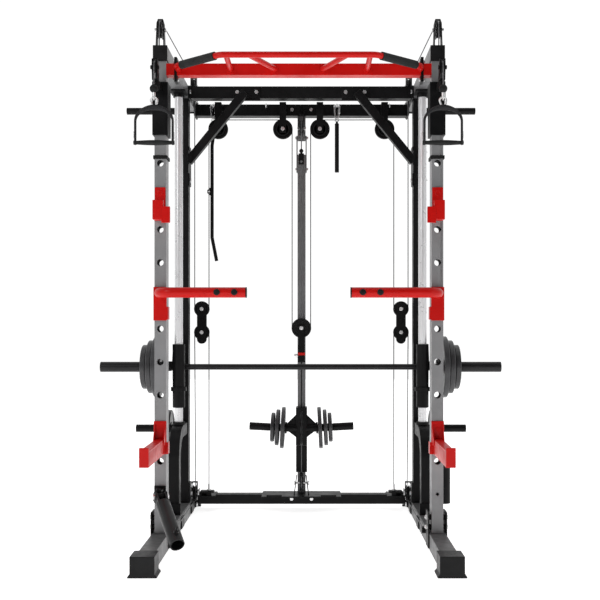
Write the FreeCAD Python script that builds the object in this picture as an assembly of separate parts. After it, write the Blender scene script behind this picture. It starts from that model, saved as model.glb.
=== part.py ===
import FreeCAD, Part
import os
from math import atan2, cos, degrees, pi, radians, sin, sqrt, tan
from FreeCAD import Vector as V

# A smith machine with a cable crossover, a rack of front attachments and a plate-loaded pulley mast.
# Millimetres. X runs across the machine, -Y is its front, Z is up. The origin is on the floor, in the
# middle of the whole machine's box. Left is -X.

os.makedirs("parts", exist_ok=True)
SIDES = (-1, 1)
CLEAR = 0.3  # gap between neighbours that move past each other
RUN = 0.05  # radial clearance of a shaft in its hole
WALL = 3  # wall of the square steel tubes

# frame
SIDE_X = 592  # middle of each side frame
DEPTH = 712  # half the length of the base, with its end caps
RAIL = 70
RAIL_LOW = 6
RAIL_TOP = RAIL_LOW + RAIL
UP_TOP = 2098
FRONT_W, FRONT_D = 50, 70
FRONT_Y = (-284, -284 + FRONT_D)
REAR = 60
REAR_Y = (393, 393 + REAR)
REAR_MID_Y = 423
BEAM = 60
BEAM_TOP = UP_TOP + BEAM
BEAM_REAR = 700
CROSS_Y = (622, 682)
CROSS_LOW_Z = (26, RAIL_TOP)
CROSS_TOP_Z = (2062, 2122)
IN_BEAM = SIDE_X - BEAM / 2
IN_RAIL = SIDE_X - RAIL / 2
FLANGE = 8
HOLE_R = 14
HOLE_PITCH = 141.5
TOP_HOLE = 1657
HOLE_COUNT = 12
HOLES = [TOP_HOLE + 2 * HOLE_PITCH - n * HOLE_PITCH for n in range(HOLE_COUNT)]

# smith bar and its guides
ROD_R = 20
ROD_Y = 264
ROD_LOW = 480
SLIDER_R = 30
SLIDER_Z = (565, 872)
BAR_R = 14
BAR_Y = 304
BAR_Z = 760
SLEEVE_R = 25
SLEEVE_X = (664, 980)
GROOVE = 3  # width of the turned groove that ends each loaded stretch of a sleeve or peg
PEG_R = 8
LOCK_PEGS = [BAR_Z - 12 + n * HOLE_PITCH for n in range(9)]

# pulleys and cables
CABLE_R = 2.5
CABLE_Y = 567
BIG_WHEEL = 48  # radius of the cable's middle on each wheel
MID_WHEEL = 37
SMALL_WHEEL = 25
AXLE_R = 5
WHEEL_HALF = 8
HIGH_Z = 1980
FALL_X = BIG_WHEEL  # falls to the floating pulley
CENTRE_X = 2 * BIG_WHEEL
SIDE_IN, SIDE_OUT = 479, 479 + 2 * MID_WHEEL
BLOCK_X = SIDE_IN + MID_WHEEL
LOW_X = SIDE_OUT - 5
OUTER_X = SIDE_IN - BIG_WHEEL
BLOCK_Z = (927, 1048)
FLOAT_Z = 949
LAT_Y = 613 - MID_WHEEL
LAT_Z = 1985
LOW_Z = 145
REAR_TOP = (530, 2190)
FRONT_TOP = (-212, 2248)
LOW_SIDE = (CABLE_Y, 100)
GUIDE_Y = (-170, -140)
FOOT_BOLT_Y = -266
FOOT_BOLTS = (100, 142)
FOOT_PLATE_TOP = 166

# trolleys
TROLLEY_Z = (1776, 2002)
SWIVEL_X = 602
SWIVEL_Y = -333
SWIVEL_WHEEL_Z = 2046
HANDLE_Y = SWIVEL_Y - 2 * SMALL_WHEEL
BALL_Z = 1950

# mast and weight carriage
MAST = 42
MAST_TOP = 1860
STUB_LOW = 1938
SPLICE_Z = (1768, 1960)
SPLICE_BOLTS = (1785, 1950)
MAST_Y = 652
CARRIAGE_Z = (339, 534)
LOAD_Y = 600
LOAD_Z = 424

bolt_list = []


def span(x, y, z):
    return Part.makeBox(x[1] - x[0], y[1] - y[0], z[1] - z[0], V(x[0], y[0], z[0]))


def rod(start, end, radius):
    a, b = V(*start), V(*end)
    return Part.makeCylinder(radius, (b - a).Length, a, b - a)


def pipe(start, end, radius, bore):
    return rod(start, end, radius).cut(rod(start, end, bore))


def fuse(shapes):
    whole = shapes[0]
    if len(shapes) > 1:
        whole = whole.multiFuse(shapes[1:])
    return whole.removeSplitter()


def groove(x, y, z, radius):
    return pipe((x, y, z), (x + GROOVE, y, z), radius + 1, radius - 1.5)


def tube_x(x, y, z):
    inner = span((x[0] - 1, x[1] + 1), (y[0] + WALL, y[1] - WALL), (z[0] + WALL, z[1] - WALL))
    return span(x, y, z).cut(inner)


def tube_y(x, y, z):
    inner = span((x[0] + WALL, x[1] - WALL), (y[0] - 1, y[1] + 1), (z[0] + WALL, z[1] - WALL))
    return span(x, y, z).cut(inner)


def tube_z(x, y, z):
    inner = span((x[0] + WALL, x[1] - WALL), (y[0] + WALL, y[1] - WALL), (z[0] - 1, z[1] + 1))
    return span(x, y, z).cut(inner)


def prism(points, axis, low, high):
    """Extrude an outline of (a, b) points along one axis, from low to high."""
    place = {"X": lambda a, b: V(low, a, b), "Y": lambda a, b: V(a, low, b), "Z": lambda a, b: V(a, b, low)}
    corners = [place[axis](a, b) for a, b in points]
    along = {"X": V(high - low, 0, 0), "Y": V(0, high - low, 0), "Z": V(0, 0, high - low)}
    return Part.Face(Part.makePolygon(corners + corners[:1])).extrude(along[axis])


def mirror(shape):
    return shape.mirror(V(0, 0, 0), V(1, 0, 0))


def both(shape):
    """The piece as built on the right, and its mirror image on the left."""
    return [mirror(shape), shape]


def on_side(shape, side):
    return shape if side > 0 else mirror(shape)


def bent_pipe(points, radius):
    """Straight round runs through the points, with a ball at each bend."""
    shapes = [rod(a, b, radius) for a, b in zip(points, points[1:])]
    shapes += [Part.makeSphere(radius, V(*p)) for p in points[1:-1]]
    return fuse(shapes)


def cable(points, radius=CABLE_R, bends=()):
    """Straight round runs joined by tangent arcs: each bend is the arc's radius at that inner point."""
    shapes = []
    at = V(*points[0])
    for n, bend in enumerate(bends, 1):
        corner = V(*points[n])
        before = (V(*points[n - 1]) - corner).normalize()
        after = (V(*points[n + 1]) - corner).normalize()
        half = before.getAngle(after) / 2
        reach = bend / tan(half)
        first = corner + before * reach
        centre = corner + (before + after).normalize() * (bend / sin(half))
        section = Part.Face(Part.Wire(Part.Circle(first, before, radius).toShape()))
        turn = degrees(pi - 2 * half)
        shapes.append(section.revolve(centre, before.cross(after) * -1, turn))
        if (first - at).Length > 0.001:
            shapes.append(rod(tuple(at), tuple(first), radius))
        at = corner + after * reach
    shapes.append(rod(tuple(at), points[-1], radius))
    return fuse(shapes)


def wheel(centre, axis, middle_r, half=WHEEL_HALF, slot=CABLE_R + 0.7, bore=AXLE_R + RUN):
    """A grooved pulley: its rim, a groove with a rounded floor, thin web and hub."""
    floor_r = middle_r - CABLE_R - CLEAR
    rim = middle_r + 3
    outline = [
        (bore, -half), (bore + 8, -half), (bore + 10, -half + 3), (floor_r - 6, -half + 3),
        (floor_r - 4, -half), (rim, -half), (rim, -slot - 1), (floor_r, -slot),
        (floor_r, slot), (rim, slot + 1), (rim, half), (floor_r - 4, half),
        (floor_r - 6, half - 3), (bore + 10, half - 3), (bore + 8, half), (bore, half),
    ]
    corners = [V(a, 0, b) for a, b in outline]
    face = Part.Face(Part.makePolygon(corners + corners[:1]))
    turned = face.revolve(V(0, 0, 0), V(0, 0, 1), 360)
    turned.rotate(V(0, 0, 0), V(0, 1, 0) if axis == "X" else V(1, 0, 0), 90)
    turned.translate(V(*centre))
    return turned


def hexagon(centre, direction, across, height):
    """A hexagonal head standing on its face at centre."""
    radius = across / sqrt(3)
    corners = [V(radius * cos(radians(60 * n)), radius * sin(radians(60 * n)), 0) for n in range(6)]
    head = Part.Face(Part.makePolygon(corners + corners[:1])).extrude(V(0, 0, height))
    head.Placement = FreeCAD.Placement(V(*centre), FreeCAD.Rotation(V(0, 0, 1), V(*direction)))
    return head


def bolt(start, end, radius=5, stub=8):
    """A hex bolt with its head at start and its nut and thread end past end."""
    a, b = V(*start), V(*end)
    along = (b - a).normalize()
    tail = b + along * (stub + 4)
    head = hexagon(tuple(a), tuple(along * -1), 3.4 * radius, 1.3 * radius)
    nut = hexagon(tuple(b), tuple(along), 3.4 * radius, 1.6 * radius)
    return fuse([head, rod(tuple(a), tuple(tail), radius), nut])


def through(start, end, radius=5, stub=8):
    """Note a frame bolt, to be added on both sides, and to be drilled for in the plates it joins."""
    bolt_list.append((start, end, radius, stub))


def drilled(shape):
    """The right-hand shape with a clear hole for each frame bolt that reaches it."""
    for start, end, radius, stub in bolt_list:
        a, b = V(*start), V(*end)
        along = (b - a).normalize()
        shape = shape.cut(rod(tuple(a - along), tuple(b + along * (stub + 6)), radius + 0.2))
    return shape


def save(name, shapes):
    solids = [s for shape in shapes for s in shape.Solids]
    bad = [s for s in solids if not s.isValid() or s.Volume <= 0]
    whole = solids[0] if len(solids) == 1 else Part.makeCompound(solids)
    whole.exportStep("parts/" + name + ".step")
    print(name, len(solids), "solids", round(whole.Volume / 1000, 1), "cm3", "BAD" if bad else "")


# ---------------------------------------------------------------- frame bolts, noted before drilling
for z in FOOT_BOLTS:
    through((SIDE_X + 41, FOOT_BOLT_Y, z), (SIDE_X - 41, FOOT_BOLT_Y, z))
for z in (118, 158):
    through((SIDE_X - 38, REAR_MID_Y, z), (SIDE_X + 38, REAR_MID_Y, z))
BRACE_X, BRACE_REACH = 270, 47.5
for x in (BRACE_X - BRACE_REACH, BRACE_X + BRACE_REACH):
    through((x, REAR_Y[0] - 6, 2127), (x, REAR_Y[1], 2127))
for z in (1690, 1830):
    through((IN_BEAM - 6, REAR_MID_Y - 12, z), (IN_BEAM + REAR, REAR_MID_Y - 12, z))
for y in (REAR_Y[0] - 12, REAR_Y[1] + 12):
    through((IN_BEAM - FLANGE, y, 2128), (IN_BEAM + BEAM, y, 2128))
for y in (608, 686):
    through((IN_BEAM - FLANGE, y, 2138), (IN_BEAM + BEAM, y, 2138))
for z in (30, 60):
    through((IN_RAIL - FLANGE, 604, z), (IN_RAIL + RAIL, 604, z))
through((50, CROSS_Y[0] - 6, 2092), (50, CROSS_Y[1], 2092))
through((52, CROSS_Y[0] - 4, 54), (52, CROSS_Y[1], 54))
PULL_Z = (2033, 2083)
PULL_MID_Z = 2058
PULL_Y = (-284, -234)
STUB_X = 533
for z in (PULL_Z[0] - 14, PULL_Z[1] + 14):
    through((STUB_X - 12, -259, z), (STUB_X, -259, z), 4, 4)


# ---------------------------------------------------------------- base
def base_rail():
    return drilled(tube_y((IN_RAIL, IN_RAIL + RAIL), (-700, 700), (RAIL_LOW, RAIL_TOP)))


def end_cap(low, high, closed_front):
    """A moulded foot: a box over the rail's end, on a flange that spreads at the floor."""
    half, foot, top = 48, 57, 83
    outline = [(-foot, 0), (foot, 0), (foot, 5), (half, 14), (half, top), (-half, top), (-half, 14),
               (-foot, 5)]
    body = prism([(SIDE_X + a, b) for a, b in outline], "Y", low, high)
    pocket_y = (low + 12, high + 1) if closed_front else (low - 1, high - 12)
    return body.cut(span((IN_RAIL, IN_RAIL + RAIL), pocket_y, (RAIL_LOW, RAIL_TOP)))


# ---------------------------------------------------------------- uprights and beams
def front_upright():
    post = tube_z((SIDE_X - FRONT_W / 2, SIDE_X + FRONT_W / 2), FRONT_Y, (RAIL_TOP, UP_TOP))
    holes = [(z, HOLE_R) for z in HOLES] + [(243, 6.5)]
    for z, radius in holes:
        post = post.cut(rod((SIDE_X, FRONT_Y[0] - 1, z), (SIDE_X, FRONT_Y[1] + 1, z), radius))
    return drilled(post)


REAR_HOLES = [1956 - 70 * n for n in range(20)]


def rear_upright():
    post = tube_z((IN_BEAM, IN_BEAM + REAR), REAR_Y, (RAIL_TOP, UP_TOP))
    for z in REAR_HOLES:
        post = post.cut(rod((SIDE_X, REAR_Y[0] - 1, z), (SIDE_X, REAR_Y[0] + 10, z), 8))
    for z in LOCK_PEGS:
        post = post.cut(rod((IN_BEAM + REAR - 10, REAR_MID_Y, z), (IN_BEAM + REAR + 1, REAR_MID_Y, z), PEG_R))
    return drilled(post)


def side_beam():
    beam = tube_y((IN_BEAM, IN_BEAM + BEAM), (FRONT_Y[0], BEAM_REAR), (UP_TOP, BEAM_TOP))
    slot = span((SWIVEL_X - 6, SWIVEL_X + 6), (FRONT_TOP[0] - MID_WHEEL - 8, FRONT_TOP[0] - MID_WHEEL + 8),
                (UP_TOP - 1, BEAM_TOP + 1))
    return drilled(beam.cut(slot))


def beam_cap(y):
    return span((SIDE_X - 31, SIDE_X + 31), y, (UP_TOP - 6, BEAM_TOP + 1))


def crossbeams():
    middle_box = tube_x((-IN_BEAM + FLANGE, IN_BEAM - FLANGE), REAR_Y, (UP_TOP, BEAM_TOP))
    rear_box = tube_x((-IN_BEAM + FLANGE, IN_BEAM - FLANGE), CROSS_Y, CROSS_TOP_Z)
    low_box = tube_x((-IN_RAIL + FLANGE, IN_RAIL - FLANGE), CROSS_Y, CROSS_LOW_Z)
    middle_end = span((IN_BEAM - FLANGE, IN_BEAM), (REAR_Y[0] - 18, REAR_Y[1] + 18), (UP_TOP - 4, BEAM_TOP))
    rear_end = span((IN_BEAM - FLANGE, IN_BEAM), (596, 700), (CROSS_TOP_Z[0] - 4, BEAM_TOP))
    low_end = span((IN_RAIL - FLANGE, IN_RAIL), (592, 684), (14, RAIL_TOP))
    whole = []
    for box, end in ((middle_box, middle_end), (rear_box, rear_end), (low_box, low_end)):
        right = drilled(end)
        beam = drilled(box)
        beam = mirror(drilled(mirror(beam)))
        whole.append(fuse([beam, right, mirror(right)]))
    return whole


def corner_brace():
    """A square tube from the middle crossbeam down and out to the rear upright, welded to two plates."""
    top = span((BRACE_X - 68, BRACE_X + 68), (REAR_Y[0] - 6, REAR_Y[0]), (2100, 2155))
    side = span((IN_BEAM - 6, IN_BEAM), (REAR_Y[0] - 2, REAR_Y[1]), (1662, 1858))
    high, low = (BRACE_X + 8, 2120), (IN_BEAM - 3, 1776)
    run = atan2(low[1] - high[1], low[0] - high[0])
    nx, nz = -sin(run) * 20, cos(run) * 20
    outline = [(high[0] + nx, high[1] + nz), (low[0] + nx, low[1] + nz),
               (low[0] - nx, low[1] - nz), (high[0] - nx, high[1] - nz)]
    y = (REAR_Y[0] - 6 - 40, REAR_Y[0] - 6)
    brace = prism(outline, "Y", *y)
    brace = brace.cut(span((IN_BEAM - 6, IN_BEAM + 40), y, (1700, 1900)))
    brace = brace.cut(span((0, 600), y, (2155, 2300)))
    wing = span((IN_BEAM - 6, IN_BEAM), (y[0], REAR_Y[0]), (1720, 1830))
    return drilled(fuse([brace, top, side, wing]))


def mast():
    """The weight carriage's guide post, and the stub above it that hangs from the rear crossbeam."""
    x, y = (-MAST / 2, MAST / 2), (MAST_Y - MAST / 2, MAST_Y + MAST / 2)
    post = spliced(tube_z(x, y, (RAIL_TOP + 8, MAST_TOP)))
    return [post, spliced(tube_z(x, y, (STUB_LOW, CROSS_TOP_Z[0])))]


def spliced(shape):
    """The shape with clear holes for the bolts of the splice."""
    for z in SPLICE_BOLTS:
        shape = shape.cut(rod((-MAST, MAST_Y, z), (MAST, MAST_Y, z), AXLE_R + 0.2))
    return shape


def mast_splice():
    """One of the two side plates that join the post to the stub, with a window between them."""
    return spliced(span((MAST / 2, MAST / 2 + 6), (MAST_Y - 18, MAST_Y + 18), SPLICE_Z))


# ---------------------------------------------------------------- pull-up station
GRIP_Y = -499
GRIP_X = 318
GRIP_END = (517, -330)
TUBE_R = 12.5
STRUT_X = 292


def pull_up_bar():
    beam = span((-STUB_X + 12, STUB_X - 12), PULL_Y, PULL_Z)
    inside_y, inside_z = (PULL_Y[0] + WALL, PULL_Y[1] - WALL), (PULL_Z[0] + WALL, PULL_Z[1] - WALL)
    beam = beam.cut(span((-STUB_X, STUB_X), inside_y, inside_z))
    z = PULL_MID_Z
    path = [(-GRIP_END[0], PULL_Y[0], z), (-GRIP_END[0], GRIP_END[1], z), (-GRIP_X, GRIP_Y, z),
            (GRIP_X, GRIP_Y, z), (GRIP_END[0], GRIP_END[1], z), (GRIP_END[0], PULL_Y[0], z)]
    parts = [beam, cable(path, TUBE_R, (30, 60, 60, 30))]
    for side in SIDES:
        parts.append(rod((side * STRUT_X, GRIP_Y, z), (side * STRUT_X, PULL_Y[0], z), TUBE_R - 1))
        parts.append(rod((side * 200, GRIP_Y, z), (side * 100, PULL_Y[0], z), TUBE_R - 1))
    return fuse(parts)


def pull_up_stub():
    box = span((STUB_X, SIDE_X - FRONT_W / 2), PULL_Y, PULL_Z)
    return box


def pull_up_flange():
    """The two bolted plates between the stub on the upright and the beam."""
    return drilled(span((STUB_X - 12, STUB_X), (PULL_Y[0], PULL_Y[1]), (PULL_Z[0] - 28, PULL_Z[1] + 28)))


def pull_up_grip():
    a, b = V(GRIP_X, GRIP_Y, PULL_MID_Z), V(GRIP_END[0], GRIP_END[1], PULL_MID_Z)
    start, end = a + (b - a) * 0.10, a + (b - a) * 0.88
    return pipe(tuple(start), tuple(end), TUBE_R + 4.5, TUBE_R)


# ---------------------------------------------------------------- smith guides
def rod_support():
    """A bent square tube: forward from the rear upright, round a wide bend and down to the rail."""
    low, half = 424, 25
    front, back = 100, 156
    inner_r, outer_r = 90, 90 + (back - front)
    cy, cz = back + inner_r, low - inner_r

    def outline(grow):
        ro, ri = outer_r - grow, inner_r + grow
        c = V(0, cy, cz)
        d = sqrt(0.5)
        p = [V(0, REAR_Y[0], cz + ro), V(0, cy, cz + ro), V(0, cy - ro, cz), V(0, cy - ro, RAIL_TOP),
             V(0, cy - ri, RAIL_TOP), V(0, cy - ri, cz), V(0, cy, cz + ri), V(0, REAR_Y[0], cz + ri)]
        mid_out = c + V(0, -ro * d, ro * d)
        mid_in = c + V(0, -ri * d, ri * d)
        edges = [Part.LineSegment(p[0], p[1]), Part.Arc(p[1], mid_out, p[2]), Part.LineSegment(p[2], p[3]),
                 Part.LineSegment(p[3], p[4]), Part.LineSegment(p[4], p[5]), Part.Arc(p[5], mid_in, p[6]),
                 Part.LineSegment(p[6], p[7]), Part.LineSegment(p[7], p[0])]
        return Part.Face(Part.Wire([e.toShape() for e in edges]))

    body = outline(0)
    body.translate(V(SIDE_X - half, 0, 0))
    body = body.extrude(V(2 * half, 0, 0))
    hollow = outline(WALL)
    hollow.translate(V(SIDE_X - half + WALL, 0, 0))
    body = body.cut(hollow.extrude(V(2 * half - 2 * WALL, 0, 0)))
    return body


def rod_top_holder():
    plate = span((SIDE_X - 38, SIDE_X + 38), (ROD_Y - 55, ROD_Y + 45), (UP_TOP - 8, UP_TOP))
    for n in range(3):
        y = ROD_Y - 50 + 9 * n
        plate = plate.cut(span((SIDE_X - 26, SIDE_X + 26), (y, y + 4), (UP_TOP - 9, UP_TOP + 1)))
    collar = rod((SIDE_X, ROD_Y, UP_TOP - 28), (SIDE_X, ROD_Y, UP_TOP), ROD_R + 7)
    return fuse([plate, collar]).cut(rod((SIDE_X, ROD_Y, 0), (SIDE_X, ROD_Y, UP_TOP + 1), ROD_R))


def slider():
    """A bearing tube on the guide rod, with a stop ring and a housing behind it that holds the bar."""
    x, y = SIDE_X, ROD_Y
    tube = rod((x, y, SLIDER_Z[0]), (x, y, SLIDER_Z[1]), SLIDER_R)
    ring = rod((x, y, 645), (x, y, 664), SLIDER_R + 8)
    housing = span((x - 20, x + 20), (y + 10, BAR_Y), (BAR_Z - 24, BAR_Z + 24))
    barrel = rod((x - 20, BAR_Y, BAR_Z), (x + 20, BAR_Y, BAR_Z), 24)
    body = fuse([tube, ring, housing, barrel])
    body = body.cut(rod((x, y, SLIDER_Z[0] - 1), (x, y, SLIDER_Z[1] + 1), ROD_R + RUN))
    return body.cut(rod((x - 40, BAR_Y, BAR_Z), (x + 40, BAR_Y, BAR_Z), BAR_R + RUN))


def lock_hook():
    """The star-shaped hub on the bar and its claw, which turns back over a peg on the rear upright."""
    x = (SIDE_X + 31, SIDE_X + 37)
    hub = rod((SIDE_X + 31, BAR_Y, BAR_Z), (SIDE_X + 60, BAR_Y, BAR_Z), 18)
    for angle in (90, 210, 330):
        tooth = span((SIDE_X + 38, SIDE_X + 58), (BAR_Y - 7, BAR_Y + 7), (BAR_Z, BAR_Z + 27))
        tooth.rotate(V(0, BAR_Y, BAR_Z), V(1, 0, 0), angle - 90)
        hub = hub.fuse(tooth)
    outline = [(-14, 10), (16, 106), (44, 112), (62, 96), (56, 84), (44, 98), (30, 94), (14, 8)]
    plate = prism([(BAR_Y + a, BAR_Z + b) for a, b in outline], "X", *x)
    claw = fuse([hub, plate])
    return claw.cut(rod((SIDE_X, BAR_Y, BAR_Z), (SIDE_X + 90, BAR_Y, BAR_Z), BAR_R))


def disc(x, y, z, radius, half, bore):
    """A cast plate on an X axle: a raised rim, a thinner web and a raised hub."""
    rim, hub = 0.13 * radius, bore + 12
    outline = [(bore, -half), (hub, -half), (hub + 3, -half + 4), (radius - rim - 4, -half + 4),
               (radius - rim, -half), (radius - 3, -half), (radius, -half + 3), (radius, half - 3),
               (radius - 3, half), (radius - rim, half), (radius - rim - 4, half - 4), (hub + 3, half - 4),
               (hub, half), (bore, half)]
    corners = [V(a, 0, b) for a, b in outline]
    turned = Part.Face(Part.makePolygon(corners + corners[:1])).revolve(V(0, 0, 0), V(0, 0, 1), 360)
    turned.rotate(V(0, 0, 0), V(0, 1, 0), 90)
    turned.translate(V(x, y, z))
    return turned


CLIP_X = 774


def bar_sleeve():
    body = rod((SLEEVE_X[0], BAR_Y, BAR_Z), (SLEEVE_X[1], BAR_Y, BAR_Z), SLEEVE_R)
    body = body.cut(groove(CLIP_X + 11, BAR_Y, BAR_Z, SLEEVE_R))
    flange = rod((SLEEVE_X[0], BAR_Y, BAR_Z), (SLEEVE_X[0] + 12, BAR_Y, BAR_Z), 36)
    end = 920
    return fuse([body, flange]).cut(rod((SLEEVE_X[0] - 1, BAR_Y, BAR_Z), (end, BAR_Y, BAR_Z), BAR_R))


def clip(x, y, z, bore):
    return pipe((x, y, z), (x + 10, y, z), bore + 6, bore)


# ---------------------------------------------------------------- cable crossover
def yoke_plates(x, low, high, half=20):
    """The two plates beside a wheel on a Y axle."""
    shapes = []
    for near, far in ((-14, -10), (10, 14)):
        shapes.append(span((x - half, x + half), (CABLE_Y + near, CABLE_Y + far), (low, high)))
    return shapes


def axle(x, z, radius=AXLE_R, y=CABLE_Y):
    head = hexagon((x, y - 14, z), (0, -1, 0), 17, 6)
    nut = hexagon((x, y + 14, z), (0, 1, 0), 17, 8)
    return fuse([head, rod((x, y - 14, z), (x, y + 20, z), radius), nut])


def high_bracket(x):
    """Two cheeks hung from the rear crossbeam, holding one upper pulley."""
    cheeks = yoke_plates(x, HIGH_Z - 22, 2118, 17)
    bridge = span((x - 17, x + 17), (CABLE_Y + 10, CROSS_Y[0]), (2072, 2118))
    top = span((x - 17, x + 17), (CABLE_Y - 14, CABLE_Y + 14), (2108, 2118))
    body = fuse(cheeks + [bridge, top])
    return body.cut(rod((x, CABLE_Y - 30, HIGH_Z), (x, CABLE_Y + 30, HIGH_Z), AXLE_R))


def x_bracket(x, y, low, high, reach=11, deep=16):
    """Two cheeks either side of a wheel on an X axle, from low to high, joined at one end."""
    cheeks = []
    for near, far in ((-reach - 4, -reach), (reach, reach + 4)):
        cheeks.append(span((x + near, x + far), (y - deep, y + deep), (low, high)))
    return cheeks


def x_axle(x, y, z, reach=16, radius=AXLE_R):
    head = hexagon((x - reach, y, z), (-1, 0, 0), 17, 6)
    nut = hexagon((x + reach, y, z), (1, 0, 0), 17, 8)
    return fuse([head, rod((x - reach, y, z), (x + reach + 6, y, z), radius), nut])


def top_bracket(y, z):
    """The bracket of a wheel standing on a side beam: a strap folded over the wheel, open at its foot."""
    x = SWIVEL_X
    top = z + 46
    outer = [(x - 19, BEAM_TOP), (x + 19, BEAM_TOP), (x + 16, z + 26), (x + 11, top), (x - 11, top),
             (x - 16, z + 26)]
    inner = [(x - 15, BEAM_TOP - 1), (x + 15, BEAM_TOP - 1), (x + 12, z + 25), (x + 8, top - 4),
             (x - 8, top - 4), (x - 12, z + 25)]
    strap = prism(outer, "Y", y - 24, y + 24).cut(prism(inner, "Y", y - 25, y + 25))
    side = [(y - 24, BEAM_TOP), (y + 24, BEAM_TOP), (y + 16, z + 30), (y + 8, top), (y - 8, top),
            (y - 16, z + 30)]
    strap = strap.common(prism(side, "X", x - 20, x + 20))
    return strap.cut(rod((x - 30, y, z), (x + 30, y, z), AXLE_R))


def rear_top_bracket():
    """A wheel bracket standing on the side beam's top face, with one cheek hanging inside of it."""
    x = SIDE_OUT
    y, z = REAR_TOP
    outer = span((x + 11, x + 15), (y - 20, y + 20), (BEAM_TOP, z + 49))
    inner = span((x - 15, x - 11), (y - 20, y + 20), (z - 20, z + 49))
    bridge = span((x - 15, x + 15), (y - 20, y + 20), (z + 45, z + 49))
    return fuse([outer, inner, bridge]).cut(rod((x - 30, y, z), (x + 30, y, z), AXLE_R))


def low_side_bracket():
    """The low rear wheel's cheeks, held by an arm from the outer end of the bottom crossbeam."""
    x = LOW_X
    y, z = CABLE_Y - MID_WHEEL, LOW_SIDE[1]
    cheeks = x_bracket(x, y, z - 16, z + 60)
    arm = span((x - 15, x - 11), (y + 16, CROSS_Y[0]), (CROSS_LOW_Z[1] - 8, z + 10))
    top = span((x - 15, x + 15), (y - 16, y + 16), (z + 56, z + 60))
    body = fuse(cheeks + [arm, top])
    return body.cut(rod((x - 30, y, z), (x + 30, y, z), AXLE_R))


def cable_anchor():
    """The plate on the bottom crossbeam that the inner fall ends on."""
    x = SIDE_IN
    arm = span((x - 34, x + 38), (CABLE_Y - 18, CROSS_Y[1]), (RAIL_TOP, RAIL_TOP + 6))
    post = span((x - 12, x + 12), (CABLE_Y - 12, CABLE_Y + 12), (RAIL_TOP + 6, RAIL_TOP + 26))
    side = span((x + 12, x + 50), (CABLE_Y + 14, CABLE_Y + 18), (RAIL_TOP + 6, RAIL_TOP + 24))
    body = fuse([arm, post, side])
    return body.cut(rod((x, CABLE_Y, RAIL_TOP + 10), (x, CABLE_Y, RAIL_TOP + 30), 6))


def lat_bracket():
    y, z = LAT_Y, LAT_Z
    cheeks = x_bracket(0, y, z - 18, CROSS_TOP_Z[0] + 30)
    back = span((-15, 15), (y + 16, CROSS_Y[0]), (CROSS_TOP_Z[0], CROSS_TOP_Z[0] + 30))
    return fuse(cheeks + [back]).cut(rod((-30, y, z), (30, y, z), AXLE_R))


def low_row_bracket():
    """Two cheeks on the foot plate that lean apart towards their feet."""
    y, z = LAT_Y, LOW_Z
    foot, top = RAIL_TOP + 8, z + 40
    cheek = prism([(22, top), (27, top), (40, foot), (35, foot)], "Y", y - 16, y + 16)
    return [s.cut(rod((-50, y, z), (50, y, z), AXLE_R)) for s in both(cheek)]


def foot_plate():
    """The plate under the mast and the low pulley, with a tread plate to each side."""
    body = span((-205, 205), (520, CROSS_Y[1]), (RAIL_TOP, RAIL_TOP + 8))
    tail = span((-60, 60), (CROSS_Y[0] - 4, CROSS_Y[0]), (CROSS_LOW_Z[0] + 4, RAIL_TOP))
    for side in SIDES:
        body = body.cut(span((side * 140 - 40, side * 140 + 40), (519, 560), (RAIL_TOP - 1, RAIL_TOP + 9)))
    tail = drilled(mirror(drilled(mirror(tail))))
    return fuse([body, tail])


# ---------------------------------------------------------------- joint plates
def foot_plates():
    """The plates each side of the front upright's foot, on the rail and spaced out to its bolts."""
    shapes = []
    for face, post, out in ((IN_RAIL + RAIL, SIDE_X + FRONT_W / 2, 1), (IN_RAIL, SIDE_X - FRONT_W / 2, -1)):
        low, high = sorted((face, face + out * 6))
        plate = span((low, high), (FRONT_Y[0] - 4, FRONT_Y[1] + 4), (12, FOOT_PLATE_TOP))
        bosses = [rod((post, FOOT_BOLT_Y, z), (face, FOOT_BOLT_Y, z), 12) for z in FOOT_BOLTS]
        shapes.append(drilled(fuse([plate] + bosses)))
    return shapes


def rear_foot_plates():
    out = span((IN_BEAM + REAR, IN_BEAM + REAR + 8), (REAR_Y[0], REAR_Y[1]), (RAIL_TOP, 176))
    inner = span((IN_BEAM - 8, IN_BEAM), (REAR_Y[0], REAR_Y[1]), (RAIL_TOP, 176))
    return [drilled(out), drilled(inner)]


def rail_plates():
    """Bolted plates on the rail's inner face under the rod support and under the rear upright."""
    shapes = []
    for y in (128, 478):
        plate = span((IN_RAIL - 6, IN_RAIL), (y - 40, y + 40), (12, 60))
        shapes.append(plate)
    return shapes


def rod_support_shoe():
    return span((SIDE_X - 33, SIDE_X + 33), (92, 100), (RAIL_TOP, 130))


def post_ring():
    """The rubber stop ring round the front upright under the trolley."""
    ring = span((SIDE_X - 30, SIDE_X + 30), (FRONT_Y[0] - 5, FRONT_Y[1] + 5), (1675, 1690))
    return ring.cut(span((SIDE_X - 25, SIDE_X + 25), FRONT_Y, (1670, 1700)))


def rod_collar():
    return pipe((SIDE_X, ROD_Y, ROD_LOW), (SIDE_X, ROD_Y, ROD_LOW + 15), ROD_R + 10, ROD_R)


# ---------------------------------------------------------------- storage
HIGH_PEG_Z, LOW_PEG_Z = 2040, 446
HOLDER_X = 720


def storage_peg(z, length_x, radius):
    start = IN_BEAM + REAR
    plate = span((start, start + 6), (REAR_MID_Y - 25, REAR_MID_Y + 25), (z - 40, z + 40))
    peg = rod((start, REAR_MID_Y, z), (length_x, REAR_MID_Y, z), radius)
    if z == LOW_PEG_Z:
        peg = peg.cut(groove(start + 57, REAR_MID_Y, z, radius))
    return fuse([plate, peg])


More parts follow.
